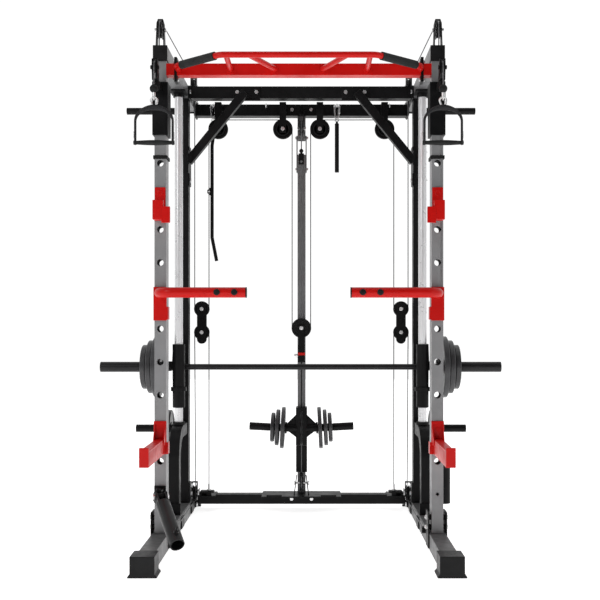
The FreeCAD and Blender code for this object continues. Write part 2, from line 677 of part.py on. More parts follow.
def bar_holder():
    """An upright tube beside the right rear foot that a bar stands in, on two arms."""
    tube = pipe((HOLDER_X, REAR_MID_Y, 70), (HOLDER_X, REAR_MID_Y, 300), 30, 26)
    floor = rod((HOLDER_X, REAR_MID_Y, 70), (HOLDER_X, REAR_MID_Y, 76), 30)
    arm = span((IN_BEAM + REAR, HOLDER_X - 27), (REAR_MID_Y - 12, REAR_MID_Y + 12), (190, 215))
    return fuse([tube, floor, arm])


def lock_peg(z):
    return rod((IN_BEAM + REAR - 3, REAR_MID_Y, z), (IN_BEAM + REAR + 9, REAR_MID_Y, z), PEG_R)


# ---------------------------------------------------------------- trolleys
def trolley():
    """A sleeve on the front upright, with an arm for the swivel and a boss for the pop pin behind."""
    z = TROLLEY_Z
    post_x = (SIDE_X - FRONT_W / 2 - 0.5, SIDE_X + FRONT_W / 2 + 0.5)
    post_y = (FRONT_Y[0] - 0.5, FRONT_Y[1] + 0.5)
    sleeve = span((SIDE_X - 33, SIDE_X + 33), (FRONT_Y[0] - 8, FRONT_Y[1] + 8), z)
    arm = span((SWIVEL_X - 16, SWIVEL_X + 16), (SWIVEL_Y - 6, FRONT_Y[0] - 8), (1960, 1992))
    nose = rod((SWIVEL_X, SWIVEL_Y, 1960), (SWIVEL_X, SWIVEL_Y, 1992), 16)
    boss = rod((SIDE_X, FRONT_Y[1], PIN_Z), (SIDE_X, FRONT_Y[1] + 30, PIN_Z), 12)
    body = fuse([sleeve, arm, nose, boss]).cut(span(post_x, post_y, (z[0] - 1, z[1] + 1)))
    body = body.cut(rod((SWIVEL_X, SWIVEL_Y, 1950), (SWIVEL_X, SWIVEL_Y, 2000), 8 + RUN))
    return body.cut(rod((SIDE_X, FRONT_Y[1] - 1, PIN_Z), (SIDE_X, FRONT_Y[1] + 31, PIN_Z), 6 + RUN))


PIN_Z = HOLES[0]


def trolley_pin():
    """The pop pin: its nose stands at the upright's rear hole, and its knob is pulled backward."""
    nose = rod((SIDE_X, FRONT_Y[1] + CLEAR, PIN_Z), (SIDE_X, FRONT_Y[1] + 34, PIN_Z), 6)
    knob = rod((SIDE_X, FRONT_Y[1] + 31, PIN_Z), (SIDE_X, FRONT_Y[1] + 52, PIN_Z), 14)
    return fuse([nose, knob])


def swivel_yoke():
    """The swivelling fork: a hollow pin in the trolley's arm, a bridge and two cheeks."""
    x, y, z = SWIVEL_X, SWIVEL_Y, SWIVEL_WHEEL_Z
    pin = rod((x, y, 1955), (x, y, 1998), 8)
    foot = rod((x, y, 1954), (x, y, 1959.5), 11)
    bridge = span((x - 12, x + 12), (y - 30, y + 12), (1992.5, 1998))
    wheel_y = y - SMALL_WHEEL
    cheeks = []
    for near, far in ((-12, -8), (8, 12)):
        outline = [(y + 12, 1994), (y + 12, 2010), (wheel_y + 12, z + 30), (wheel_y + 2, z + 38),
                   (wheel_y - 12, z + 34), (wheel_y - 16, z), (wheel_y - 6, 1994)]
        cheeks.append(prism(outline, "X", x + near, x + far))
    top = span((x - 8, x + 8), (wheel_y - 8, wheel_y + 4), (z + 32, z + 36))
    body = fuse([pin, foot, bridge, top] + cheeks)
    body = body.cut(rod((x, y, 1950), (x, y, 2000), CABLE_R + 1))
    axle_hole = rod((x - 30, wheel_y, z), (x + 30, wheel_y, z), AXLE_R)
    body = body.cut(axle_hole)
    bolt_shape = fuse([rod((x - 16, wheel_y, z), (x + 18, wheel_y, z), AXLE_R),
                       hexagon((x - 12, wheel_y, z), (-1, 0, 0), 16, 5),
                       hexagon((x + 12, wheel_y, z), (1, 0, 0), 16, 7)])
    return [body, bolt_shape]


def swivel_cable():
    x, y = SWIVEL_X, SWIVEL_Y
    top = SWIVEL_WHEEL_Z + SMALL_WHEEL
    return cable([(x, y, 1948), (x, y, top), (x, HANDLE_Y, top), (x, HANDLE_Y, BALL_Z + 13 + CLEAR)],
                 CABLE_R, (SMALL_WHEEL - 0.01, SMALL_WHEEL - 0.01))


STIRRUP_TOP, STIRRUP_LOW, STIRRUP_HALF = 1893, 1723, 78


def handle():
    """A ball stop and its stem, a snap link, the stirrup's flat strap and the grip across its foot."""
    x, y = SWIVEL_X, HANDLE_Y
    stem = rod((x, y, BALL_Z - 30), (x, y, BALL_Z + 12), 5)
    ball = fuse([Part.makeSphere(13, V(x, y, BALL_Z)), stem])
    high, low, wide, wire = BALL_Z - 34, STIRRUP_TOP - 8, 8, 3
    corners = [(x, y - wide, low), (x, y - wide, high), (x, y + wide, high), (x, y + wide, low)]
    snap = fuse([rod(a, b, wire) for a, b in zip(corners, corners[1:] + corners[:1])]
                + [Part.makeSphere(wire, V(*p)) for p in corners])
    shoulder = STIRRUP_TOP - 66
    width, thick = 26, 5

    def arch(grow):
        w, top, foot = STIRRUP_HALF - grow, STIRRUP_TOP - grow, STIRRUP_LOW - 8
        a, b = V(x - w, y - width / 2, shoulder), V(x, y - width / 2, top)
        c = V(x + w, y - width / 2, shoulder)
        d, e = V(x + w, y - width / 2, foot), V(x - w, y - width / 2, foot)
        edges = [Part.Arc(a, b, c), Part.LineSegment(c, d), Part.LineSegment(d, e), Part.LineSegment(e, a)]
        return Part.Face(Part.Wire([edge.toShape() for edge in edges])).extrude(V(0, width, 0))

    strap = arch(0).cut(arch(thick))
    deep = (y - wide - wire - 1, y + wide + wire + 1)
    strap = strap.cut(span((x - 5, x + 5), deep, (low - 4, STIRRUP_TOP + 5)))
    grip = rod((x - STIRRUP_HALF - 4, y, STIRRUP_LOW), (x + STIRRUP_HALF + 4, y, STIRRUP_LOW), 12)
    return [fuse([ball, snap]), fuse([strap, grip])]


# ---------------------------------------------------------------- front attachments
def hook_pin(z):
    return rod((SIDE_X, FRONT_Y[0] - 4, z), (SIDE_X, FRONT_Y[0] + 18, z), HOLE_R - 1)


FACE = FRONT_Y[0] - CLEAR


def j_hook():
    """A back plate on the upright, a shelf and a front lip, with a pin into the upright's hole."""
    outline = [(FACE, 1410), (FACE, 1553), (FACE - 8, 1553), (FACE - 8, 1426), (FACE - 54, 1426),
               (FACE - 54, 1492), (FACE - 64, 1492), (FACE - 64, 1410)]
    return fuse([prism(outline, "X", SIDE_X - 23, SIDE_X + 23), hook_pin(HOLES[3])])


def spotter_arm():
    """A square tube arm with a raised end plate, on a back plate with a web and a pin."""
    x = SIDE_X
    back = span((x - 27, x + 27), (FACE - 8, FACE), (415, 556))
    arm = span((x - 19, x + 19), (-664, FACE - 8), (415, 473))
    lip = span((x - 19, x + 19), (-672, -664), (415, 492))
    profile = [(FACE - 8, 455), (FACE - 8, 548), (FACE - 50, 473), (FACE - 50, 455)]
    webs = [prism(profile, "X", x + a, x + a + 5) for a in (-24, 19)]
    return fuse([back, arm, lip, hook_pin(HOLES[10])] + webs)


def arm_liner():
    return span((SIDE_X - 19, SIDE_X + 19), (-664, FACE - 8), (473, 480))


DIP_Z = 1102
DIP_Y = -360
DIP_END = 217


def dip_handle():
    """A thick tube that comes forward from its plate and bends inward, with a plug in its end."""
    x = SIDE_X
    back = span((x - 28, x + 28), (FACE - 8, FACE), (985, 1128))
    tube = cable([(x, FACE - 4, DIP_Z), (x, DIP_Y, DIP_Z), (DIP_END + 5, DIP_Y, DIP_Z)], 22, (62,))
    return fuse([back, tube, hook_pin(HOLES[6])])


def dip_plug():
    return rod((DIP_END, DIP_Y, DIP_Z), (DIP_END + 5, DIP_Y, DIP_Z), 22.5)


# the landmine stands on the left front foot: built pointing forward, then tilted and turned inward
MINE_Y = -335
MINE_Z = 246
MINE_REACH = 34
MINE_YAW, MINE_PITCH = 25, 31.4
MINE_END = 285


def mine_bracket():
    x = -SIDE_X
    plate = span((x - 25, x + 25), (FRONT_Y[0] - 8, FRONT_Y[0]), (212, 280))
    shapes = [plate]
    for z in ((MINE_Z - 24, MINE_Z - 16), (MINE_Z + 16, MINE_Z + 24)):
        ear = span((x - 16, x + 16), (MINE_Y, FRONT_Y[0] - 8), z)
        shapes += [ear, rod((x, MINE_Y, z[0]), (x, MINE_Y, z[1]), 16)]
    shapes.append(rod((x, MINE_Y, MINE_Z - 28), (x, MINE_Y, MINE_Z + 30), 8))
    screw = fuse([rod((x, FRONT_Y[0] - 8, 243), (x, FRONT_Y[0] + 20, 243), 6),
                  hexagon((x, FRONT_Y[0] - 8, 243), (0, -1, 0), 18, 7)])
    return fuse(shapes + [screw])


def mine_turned(shape):
    shape.rotate(V(-SIDE_X, MINE_Y, MINE_Z), V(0, 0, 1), MINE_YAW)
    return shape


def mine_yoke():
    x, y, z = -SIDE_X, MINE_Y, MINE_Z
    block = span((x - 14, x + 14), (y - MINE_REACH - 12, y + 14), (z - 15.5, z + 15.5))
    nose = rod((x - 14, y - MINE_REACH, z), (x + 14, y - MINE_REACH, z), 15.5)
    pin = rod((x - 32, y - MINE_REACH, z), (x + 32, y - MINE_REACH, z), 8)
    body = fuse([block, nose]).cut(rod((x, y, z - 20), (x, y, z + 20), 8 + RUN))
    heads = [hexagon((x + side * 26, y - MINE_REACH, z), (side, 0, 0), 24, 8) for side in SIDES]
    return mine_turned(fuse([body, pin] + heads))


def mine_sleeve():
    """A tube that a bar's end goes into, its fork on the yoke's pin, and a clamp screw."""
    x, y, z = -SIDE_X, MINE_Y - MINE_REACH, MINE_Z
    ears = []
    for near, far in ((-24, -15), (15, 24)):
        ears.append(rod((x + near, y, z), (x + far, y, z), 20))
        ears.append(span((x + near, x + far), (y - 52, y), (z - 20, z + 20)))
    wall = rod((x, y - 42, z), (x, y - 54, z), 30)
    tube = pipe((x, y - 50, z), (x, y - MINE_END, z), 30, 25.5)
    collar = rod((x, y - MINE_END + 40, z + 28), (x, y - MINE_END + 40, z + 40), 11)
    screw = rod((x, y - MINE_END + 40, z + 26), (x, y - MINE_END + 40, z + 58), 5)
    body = fuse(ears + [wall, tube, collar, screw])
    body = body.cut(rod((x, y - 54, z), (x, y - MINE_END - 1, z), 25.5))
    body = body.cut(rod((x - 40, y, z), (x + 40, y, z), 8 + RUN))
    body.rotate(V(x, y, z), V(1, 0, 0), MINE_PITCH)
    return mine_turned(body)


# ---------------------------------------------------------------- mast carriage and floating pulley
PEG_TILT = 3
LOAD_PLATES = ((97, 108), (125, 94), (150, 76))


def tilted(shape):
    shape.rotate(V(0, LOAD_Y, LOAD_Z), V(0, 1, 0), -PEG_TILT)
    return shape


def weight_carriage():
    z = CARRIAGE_Z
    half = MAST / 2 + 8
    sleeve = span((-half, half), (MAST_Y - half, MAST_Y + half), z)
    front = span((-half, half), (LOAD_Y - 14, MAST_Y - half), z)
    rib = [(half, LOAD_Z + 72), (half + 50, LOAD_Z + 24), (half + 50, LOAD_Z - 6), (half, LOAD_Z - 44)]
    gusset = prism(rib, "Y", LOAD_Y - 4, LOAD_Y + 4)
    shank = rod((half - 20, LOAD_Y, LOAD_Z), (271, LOAD_Y, LOAD_Z), 20).cut(groove(162, LOAD_Y, LOAD_Z, 20))
    peg = tilted(fuse([shank,
                       rod((76, LOAD_Y, LOAD_Z), (86, LOAD_Y, LOAD_Z), 30)]))
    peg = peg.cut(span((-60, half - 6), (500, 700), (300, 600)))
    body = fuse([sleeve, front] + both(gusset) + both(peg))
    inner = half - 8 + 0.5
    body = body.cut(span((-inner, inner), (MAST_Y - inner, MAST_Y + inner), (z[0] - 1, z[1] + 1)))
    body = body.cut(span((-6, 6), (LOAD_Y - 20, MAST_Y - inner), (z[0] - 1, z[1] + 1)))
    lug = span((-14, 14), (LOAD_Y - 14, LOAD_Y + 6), (z[1] - 16, z[1]))
    link = rod((0, LINK_Y, z[1] - 10), (0, LINK_Y, SELECT_Z[0] + 4), 3)
    return fuse([body, lug, link, floating_bracket()])


LINK_Y = 598
SELECT_Z = (772, 862)
PULL_PIN = (580, 806)


def floating_bracket():
    shapes = yoke_plates(0, SELECT_Z[1], FLOAT_Z + 18, 16)
    shapes.append(span((-16, 16), (CABLE_Y - 14, CABLE_Y + 14), (SELECT_Z[1] - 4, SELECT_Z[1] + 8)))
    block = span((-18, 18), (CABLE_Y - 10, LINK_Y + 8), SELECT_Z)
    body = fuse(shapes + [block, axle(0, FLOAT_Z)])
    return body.cut(rod((-20, PULL_PIN[0], PULL_PIN[1]), (4, PULL_PIN[0], PULL_PIN[1]), 4 + RUN))


def selector_pin():
    y, z = PULL_PIN
    return fuse([rod((-26, y, z), (-4, y, z), 4), rod((-38, y, z), (-18 - CLEAR, y, z), 9)])


def float_arc():
    r = BIG_WHEEL
    return cable([(-r, CABLE_Y, FLOAT_Z), (-r, CABLE_Y, FLOAT_Z - r), (r, CABLE_Y, FLOAT_Z - r),
                  (r, CABLE_Y, FLOAT_Z)], CABLE_R, (r - 0.01, r - 0.01))


def lower_mast_sleeve():
    half = MAST / 2
    grown = half + 8
    outer = span((-grown, grown), (MAST_Y - grown, MAST_Y + grown), (193, 330))
    return outer.cut(span((-half, half), (MAST_Y - half, MAST_Y + half), (190, 340)))


# ---------------------------------------------------------------- side blocks
def side_block():
    """Two dog-bone cheeks with a pulley at each end, and the bolts that hold them together."""
    x = BLOCK_X
    low, high = BLOCK_Z
    middle = (low + high) / 2
    shapes = []
    for near, far in ((-14, -10), (10, 14)):
        y = (CABLE_Y + near, CABLE_Y + far)
        ends = (low - 35, high + 16)
        plates = [rod((x, y[0], z), (x, y[1], z), 24) for z in ends]
        plates.append(span((x - 24, x + 24), y, ends))
        shapes.append(fuse(plates))
    shapes += [axle(x, z) for z in BLOCK_Z]
    shapes.append(axle(x, middle, 4))
    return fuse(shapes)


def block_arcs():
    x, r = BLOCK_X, MID_WHEEL
    low, high = BLOCK_Z
    shapes = []
    for z, way in ((high, -1), (low, 1)):
        high = z + way * r
        shapes.append(cable([(x - r, CABLE_Y, z), (x - r, CABLE_Y, high), (x + r, CABLE_Y, high),
                             (x + r, CABLE_Y, z)], CABLE_R, (r - 0.01, r - 0.01)))
    return shapes


# ---------------------------------------------------------------- fixed cable runs
def cross_cable():
    """Over the outer and the centre upper pulley, between the two falls."""
    top = HIGH_Z + BIG_WHEEL
    return cable([(SIDE_IN, CABLE_Y, HIGH_Z), (SIDE_IN, CABLE_Y, top), (FALL_X, CABLE_Y, top),
                  (FALL_X, CABLE_Y, HIGH_Z)], CABLE_R, (BIG_WHEEL - 0.01, BIG_WHEEL - 0.01))


def top_cable():
    """From the outer fall over the rear top wheel, forward to the front one and down into the upright."""
    rear = REAR_TOP[1] + MID_WHEEL
    front = FRONT_TOP[1] + MID_WHEEL
    start = (SIDE_OUT, CABLE_Y, REAR_TOP[1])
    rise = (front - rear) / (REAR_TOP[0] - FRONT_TOP[0]) * MID_WHEEL
    return cable([start, (SIDE_OUT, CABLE_Y, rear - rise), (SWIVEL_X, FRONT_TOP[0] - MID_WHEEL, front + rise),
                  (SWIVEL_X, FRONT_TOP[0] - MID_WHEEL, 1700)], CABLE_R, (MID_WHEEL, MID_WHEEL))


def low_cable():
    """From the outer fall under the low rear wheel and forward along the rail to its guide bush."""
    low = LOW_SIDE[1] - MID_WHEEL
    return cable([(LOW_X, CABLE_Y, LOW_SIDE[1]), (LOW_X, CABLE_Y, low),
                  (LOW_X, GUIDE_Y[0] + 10, low)], CABLE_R, (MID_WHEEL - 0.01,))


def guide_bush():
    y, z = GUIDE_Y, LOW_SIDE[1] - MID_WHEEL
    block = span((SIDE_OUT - 14, IN_RAIL), y, (z - 12, z + 12))
    return block.cut(rod((LOW_X, y[0] + 10, z), (LOW_X, y[1] + 1, z), CABLE_R))


def mast_cable():
    """Lat and low-row cable: up over the lat wheel, down the mast's front and under the low wheel."""
    front, back, r = LAT_Y - MID_WHEEL, LAT_Y + MID_WHEEL, MID_WHEEL
    high, low = LAT_Z + r, LOW_Z - r
    route = [(0, front, LAT_HOOK_Z + 20), (0, front, high), (0, back, high), (0, back, low), (0, front, low),
             (0, front, 186)]
    return cable(route, CABLE_R, [r - 0.01] * 4)


def falls():
    shapes = []
    for x, z in ((FALL_X, (FLOAT_Z, HIGH_Z)), (SIDE_IN, (BLOCK_Z[1], HIGH_Z)),
                 (SIDE_OUT, (BLOCK_Z[1], REAR_TOP[1])),
                 (SIDE_IN, (RAIL_TOP + 10, BLOCK_Z[0]))):
        shapes += both(rod((x, CABLE_Y, z[0]), (x, CABLE_Y, z[1]), CABLE_R))
    lean = rod((SIDE_OUT, CABLE_Y, BLOCK_Z[0] - CLEAR), (LOW_X, CABLE_Y, LOW_SIDE[1] + CLEAR), CABLE_R)
    return shapes + both(lean)


LAT_HOOK_Z = 1850


def lat_hook():
    """The lat cable's end: a ball stop, a stem and a block with an eye."""
    y = LAT_Y - MID_WHEEL
    ball = Part.makeSphere(11, V(0, y, LAT_HOOK_Z + 12))
    block = span((-14, 14), (y - 10, y + 9), (1792, LAT_HOOK_Z - 2))
    stem = rod((0, y, LAT_HOOK_Z - 4), (0, y, LAT_HOOK_Z + 12), 6)
    body = fuse([ball, block, stem])
    body = body.cut(rod((0, y - 20, 1806), (0, y + 20, 1806), 7))
    return body.cut(rod((0, y, LAT_HOOK_Z + 20), (0, y, LAT_HOOK_Z + 40), CABLE_R))


def low_hook():
    y = LAT_Y - MID_WHEEL
    return Part.makeSphere(11, V(0, y, 196)).cut(rod((0, y, 180), (0, y, 186), CABLE_R))


# ---------------------------------------------------------------- pieces hung behind
EYES = (460, 185)
EYE_Z = 2112
EYE_Y = 603
LINK_LOW = 2028


def eye_hook(x):
    shank = rod((x, CROSS_Y[0] - 10, EYE_Z), (x, CROSS_Y[0], EYE_Z), 4)
    loop = Part.makeTorus(9, 3, V(x, EYE_Y, EYE_Z), V(1, 0, 0))
    return fuse([shank, loop])


def snap_link(x, z_low):
    half, wire = 8, 2.5
    high = EYE_Z - 6 + wire + CLEAR
    corners = [(x - half, EYE_Y, z_low), (x - half, EYE_Y, high), (x + half, EYE_Y, high),
               (x + half, EYE_Y, z_low)]
    shapes = [rod(a, b, wire) for a, b in zip(corners, corners[1:] + corners[:1])]
    return fuse(shapes + [Part.makeSphere(wire, V(*p)) for p in corners])


def lat_bar():
    x, y = -EYES[0], EYE_Y
    top, bottom = LINK_LOW - 4, 1299
    shoulder = 122
    path = [(x + 10, y, top), (x - 7, y, top - shoulder), (x - 7, y, bottom + shoulder), (x + 17, y, bottom)]
    bar = bent_pipe(path, 9)
    middle = (top + bottom) / 2
    outline = [(x - 10, middle - 26), (x - 10, middle + 26), (x - 32, middle + 8), (x - 32, middle - 8)]
    lug = prism(outline, "Y", y - 3, y + 3)
    return fuse([bar, lug]).cut(rod((x - 23, y - 10, middle), (x - 23, y + 10, middle), 5))


def short_bar():
    x, y = EYES[1], EYE_Y
    handle = rod((x, y, LINK_LOW - 266), (x, y, LINK_LOW - 12), 11)
    return fuse([handle, rod((x, y, LINK_LOW - 14), (x, y, LINK_LOW - 2.5), 6)])


# ---------------------------------------------------------------- write every node
def main():
    save("base_rails", both(base_rail()))
    save("end_caps", both(end_cap(-DEPTH, -612, True)) + both(end_cap(DEPTH - 26, DEPTH, False)))
    save("front_uprights", both(front_upright()))
    save("rear_uprights", both(rear_upright()))
    save("top_side_beams", both(side_beam()) + both(beam_cap((FRONT_Y[0] - 8, FRONT_Y[0])))
         + both(beam_cap((BEAM_REAR, BEAM_REAR + 6))))
    save("crossbeams", crossbeams() + both(corner_brace()))
    save("rear_mast", mast() + [lower_mast_sleeve()] + both(mast_splice()))
    save("pull_up_bar", [pull_up_bar()] + both(pull_up_stub()))
    save("grips_and_stops", both(pull_up_grip()) + both(post_ring()) + both(rod_collar()))
    save("guide_rods", both(rod((SIDE_X, ROD_Y, ROD_LOW), (SIDE_X, ROD_Y, UP_TOP - 8), ROD_R)))
    save("rod_supports", both(rod_support()) + both(rod_top_holder()))
    plates = foot_plates() + rear_foot_plates() + rail_plates()
    plates += [rod_support_shoe(), pull_up_flange(), guide_bush()]
    plates = [p for shape in plates for p in both(shape)]
    save("joint_plates", plates + [mine_bracket(), foot_plate()])
    bolts = [b for args in bolt_list for b in both(bolt(*args))]
    for x in EYES:
        bolts += both(eye_hook(x))
    fixed_axles = [axle(OUTER_X, HIGH_Z), axle(CENTRE_X, HIGH_Z), x_axle(SWIVEL_X, *FRONT_TOP, 18),
                   x_axle(SIDE_OUT, *REAR_TOP, 15), x_axle(LOW_X, CABLE_Y - MID_WHEEL, LOW_SIDE[1], 16)]
    bolts += [b for shape in fixed_axles for b in both(shape)]
    bolts += [x_axle(0, LAT_Y, LAT_Z, 16), x_axle(0, LAT_Y, LOW_Z, 34)]
    bolts += [x_axle(0, MAST_Y, z, MAST / 2 + 6) for z in SPLICE_BOLTS]
    save("frame_bolts", bolts)
    pegs = [storage_peg(HIGH_PEG_Z, 875, 17), storage_peg(LOW_PEG_Z, 828, 19)]
    pegs += [lock_peg(z) for z in LOCK_PEGS]
    save("storage_pegs", [p for shape in pegs for p in both(shape)] + [bar_holder()])
    save("storage_plates", both(disc(IN_BEAM + REAR + 40, REAR_MID_Y, LOW_PEG_Z, 92, 14, 19)))
    brackets = [high_bracket(OUTER_X), high_bracket(CENTRE_X), top_bracket(*FRONT_TOP), rear_top_bracket(),
                low_side_bracket(), cable_anchor()]
    save("pulley_brackets", [b for shape in brackets for b in both(shape)]
         + [lat_bracket(), lat_hook(), low_hook()] + low_row_bracket())
    runs = [b for shape in (cross_cable(), top_cable(), low_cable()) for b in both(shape)]
    save("cable_runs", runs + [mast_cable()])
    save("cable_falls", falls())

    save("smith_sliders", both(slider()))
    bar = rod((-920, BAR_Y, BAR_Z), (920, BAR_Y, BAR_Z), BAR_R)
    save("smith_bar", [bar] + both(lock_hook()) + both(bar_sleeve()))
    plates = [disc(x, BAR_Y, BAR_Z, r, 13, SLEEVE_R) for x, r in ((700, 150), (729, 130), (759, 108))]
    plates.append(clip(CLIP_X, BAR_Y, BAR_Z, SLEEVE_R))
    save("bar_plates", [p for shape in plates for p in both(shape)])
    load = [tilted(disc(x, LOAD_Y, LOAD_Z, r, 10, 20)) for x, r in LOAD_PLATES]
    save("carriage_plates", [p for shape in load for p in both(shape)])
    save("weight_carriage", [weight_carriage(), float_arc()])
    save("selector_pin", [selector_pin()])
    for side, word in ((-1, "left_"), (1, "right_")):
        save(word + "trolley", [on_side(trolley(), side)])
        save(word + "trolley_pin", [on_side(trolley_pin(), side)])
        save(word + "swivel_yoke", [on_side(s, side) for s in swivel_yoke() + [swivel_cable()]])
        save(word + "handle", [on_side(s, side) for s in handle()])
        save(word + "j_hook", [on_side(j_hook(), side)])
        save(word + "spotter_arm", [on_side(s, side) for s in (spotter_arm(), arm_liner())])
        save(word + "dip_handle", [on_side(s, side) for s in (dip_handle(), dip_plug())])
        save(word + "pulley_block", [on_side(s, side) for s in [side_block()] + block_arcs()])
        wheels = {
            "swivel_wheel": wheel((SWIVEL_X, SWIVEL_Y - SMALL_WHEEL, SWIVEL_WHEEL_Z), "X", SMALL_WHEEL, 6),
            "centre_wheel": wheel((CENTRE_X, CABLE_Y, HIGH_Z), "Y", BIG_WHEEL),
            "outer_wheel": wheel((OUTER_X, CABLE_Y, HIGH_Z), "Y", BIG_WHEEL),
            "block_high_wheel": wheel((BLOCK_X, CABLE_Y, BLOCK_Z[1]), "Y", MID_WHEEL),
            "block_low_wheel": wheel((BLOCK_X, CABLE_Y, BLOCK_Z[0]), "Y", MID_WHEEL),
        }
        for name, shape in wheels.items():
            save(word + name, [on_side(shape, side)])
    save("floating_wheel", [wheel((0, CABLE_Y, FLOAT_Z), "Y", BIG_WHEEL)])
    save("lat_wheel", [wheel((0, LAT_Y, LAT_Z), "X", MID_WHEEL)])
    save("low_row_wheel", [wheel((0, LAT_Y, LOW_Z), "X", MID_WHEEL)])
    save("front_top_wheels", both(wheel((SWIVEL_X, *FRONT_TOP), "X", MID_WHEEL, WHEEL_HALF, 5)))
    save("rear_top_wheels", both(wheel((SIDE_OUT, *REAR_TOP), "X", MID_WHEEL, WHEEL_HALF, 5)))
    save("low_side_wheels", both(wheel((LOW_X, CABLE_Y - MID_WHEEL, LOW_SIDE[1]), "X", MID_WHEEL)))
    save("landmine_yoke", [mine_yoke()])
    save("landmine_sleeve", [mine_sleeve()])
    save("lat_bar", [lat_bar(), snap_link(-EYES[0], LINK_LOW)])
    save("short_bar", [short_bar(), snap_link(EYES[1], LINK_LOW)])


main()
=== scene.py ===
"""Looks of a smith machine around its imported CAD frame: materials, fine pieces, light and camera."""
import math

import bpy
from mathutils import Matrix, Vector


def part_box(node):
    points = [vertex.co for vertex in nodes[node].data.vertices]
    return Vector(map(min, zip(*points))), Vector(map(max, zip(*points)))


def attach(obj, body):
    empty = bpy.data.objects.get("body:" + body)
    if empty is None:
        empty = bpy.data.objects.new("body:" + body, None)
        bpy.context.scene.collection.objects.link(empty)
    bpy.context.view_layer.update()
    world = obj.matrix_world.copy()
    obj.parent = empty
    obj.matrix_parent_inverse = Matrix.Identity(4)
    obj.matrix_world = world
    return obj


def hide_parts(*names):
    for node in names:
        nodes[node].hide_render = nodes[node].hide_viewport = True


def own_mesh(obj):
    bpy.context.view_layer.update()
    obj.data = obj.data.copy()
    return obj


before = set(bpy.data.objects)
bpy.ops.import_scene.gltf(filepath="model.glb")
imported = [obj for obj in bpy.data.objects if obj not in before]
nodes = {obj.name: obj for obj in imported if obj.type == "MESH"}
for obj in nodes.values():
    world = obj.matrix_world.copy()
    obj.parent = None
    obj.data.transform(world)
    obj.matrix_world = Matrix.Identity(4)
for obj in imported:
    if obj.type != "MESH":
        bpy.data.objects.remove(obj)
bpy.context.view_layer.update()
SIDES = ("left_", "right_")


# ---------------------------------------------------------------- materials


class Shader:
    """A material with a principled shader, and short calls that add and join nodes."""

    def __init__(self, name, metallic=0.0, coat=0.0, specular=0.5):
        self.material = bpy.data.materials.new(name)
        self.material.use_nodes = True
        self.tree = self.material.node_tree
        self.main = self.tree.nodes["Principled BSDF"]
        self.main.inputs["Metallic"].default_value = metallic
        self.main.inputs["Coat Weight"].default_value = coat
        self.main.inputs["Coat Roughness"].default_value = 0.12
        self.main.inputs["Specular IOR Level"].default_value = specular
        self.place = self.add("ShaderNodeTexCoord").outputs["Object"]

    def add(self, kind, **inputs):
        node = self.tree.nodes.new(kind)
        for name, value in inputs.items():
            self.put(node, name.replace("_", " "), value)
        return node

    def put(self, node, name, value):
        if isinstance(value, bpy.types.NodeSocket):
            self.tree.links.new(value, node.inputs[name])
        else:
            node.inputs[name].default_value = value

    def math(self, operation, a, b=0.0):
        node = self.tree.nodes.new("ShaderNodeMath")
        node.operation = operation
        self.put(node, 0, a)
        self.put(node, 1, b)
        return node.outputs[0]

    def noise(self, scale, detail=3.0, stretch=(1, 1, 1)):
        place = self.place
        if stretch != (1, 1, 1):
            mapping = self.add("ShaderNodeMapping", Vector=place, Scale=stretch)
            place = mapping.outputs[0]
        return self.add("ShaderNodeTexNoise", Vector=place, Scale=scale, Detail=detail).outputs[0]

    def spread(self, value, low, high, start=0.3, end=0.7):
        """The value, from start to end, spread over low to high."""
        node = self.add("ShaderNodeMapRange", Value=value, From_Min=start, From_Max=end,
                        To_Min=low, To_Max=high)
        return node.outputs[0]

    def colour(self, value, low, high):
        ramp = self.add("ShaderNodeValToRGB", Fac=value)
        ramp.color_ramp.elements[0].position = 0.3
        ramp.color_ramp.elements[1].position = 0.7
        ramp.color_ramp.elements[0].color = (*low, 1)
        ramp.color_ramp.elements[1].color = (*high, 1)
        self.put(self.main, "Base Color", ramp.outputs[0])

    def rough(self, value, low, high):
        self.put(self.main, "Roughness", self.spread(value, low, high))

    def bump(self, height, distance, strength=1.0, under=None):
        node = self.add("ShaderNodeBump", Height=height, Distance=distance, Strength=strength)
        if under is not None:
            self.put(node, "Normal", under)
        self.put(self.main, "Normal", node.outputs[0])
        return node.outputs[0]


def painted(name, low, high, rough, metallic=0.0, coat=0.0, peel=0.00003, specular=0.5):
    """Powder coat or paint: fine orange peel, soft patches of colour and gloss."""
    shader = Shader(name, metallic, coat, specular)
    shader.colour(shader.noise(9.0, 5.0), low, high)
    shader.rough(shader.noise(30.0), rough - 0.06, rough + 0.08)
    shader.bump(shader.noise(700.0, 2.0), peel)
    return shader.material


def drawn(name, low, high, rough, stretch, grain=260.0, depth=0.00001):
    """Bare or plated metal with fine lines along the way it was drawn or turned."""
    shader = Shader(name, 1.0)
    shader.colour(shader.noise(14.0, 5.0), low, high)
    lines = shader.noise(grain, 3.0, stretch)
    shader.rough(lines, rough - 0.04, rough + 0.08)
    shader.bump(lines, depth)
    return shader.material


def cast(name, low, high):
    """Hammertone enamel on cast iron: small rounded dimples, worn lighter here and there."""
    shader = Shader(name, 0.35, 0.15)
    dimples = shader.add("ShaderNodeTexVoronoi", Vector=shader.place, Scale=240.0).outputs["Distance"]
    shader.colour(shader.noise(16.0, 6.0), low, high)
    shader.rough(shader.noise(60.0), 0.34, 0.5)
    shader.bump(dimples, 0.0005, 0.7)
    return shader.material


def rubber(name, low, high, pattern=900.0, depth=0.0003):
    shader = Shader(name, specular=0.2)
    shader.colour(shader.noise(40.0, 4.0), low, high)
    shader.rough(shader.noise(25.0), 0.55, 0.75)
    shader.bump(shader.noise(pattern, 2.0), depth)
    return shader.material


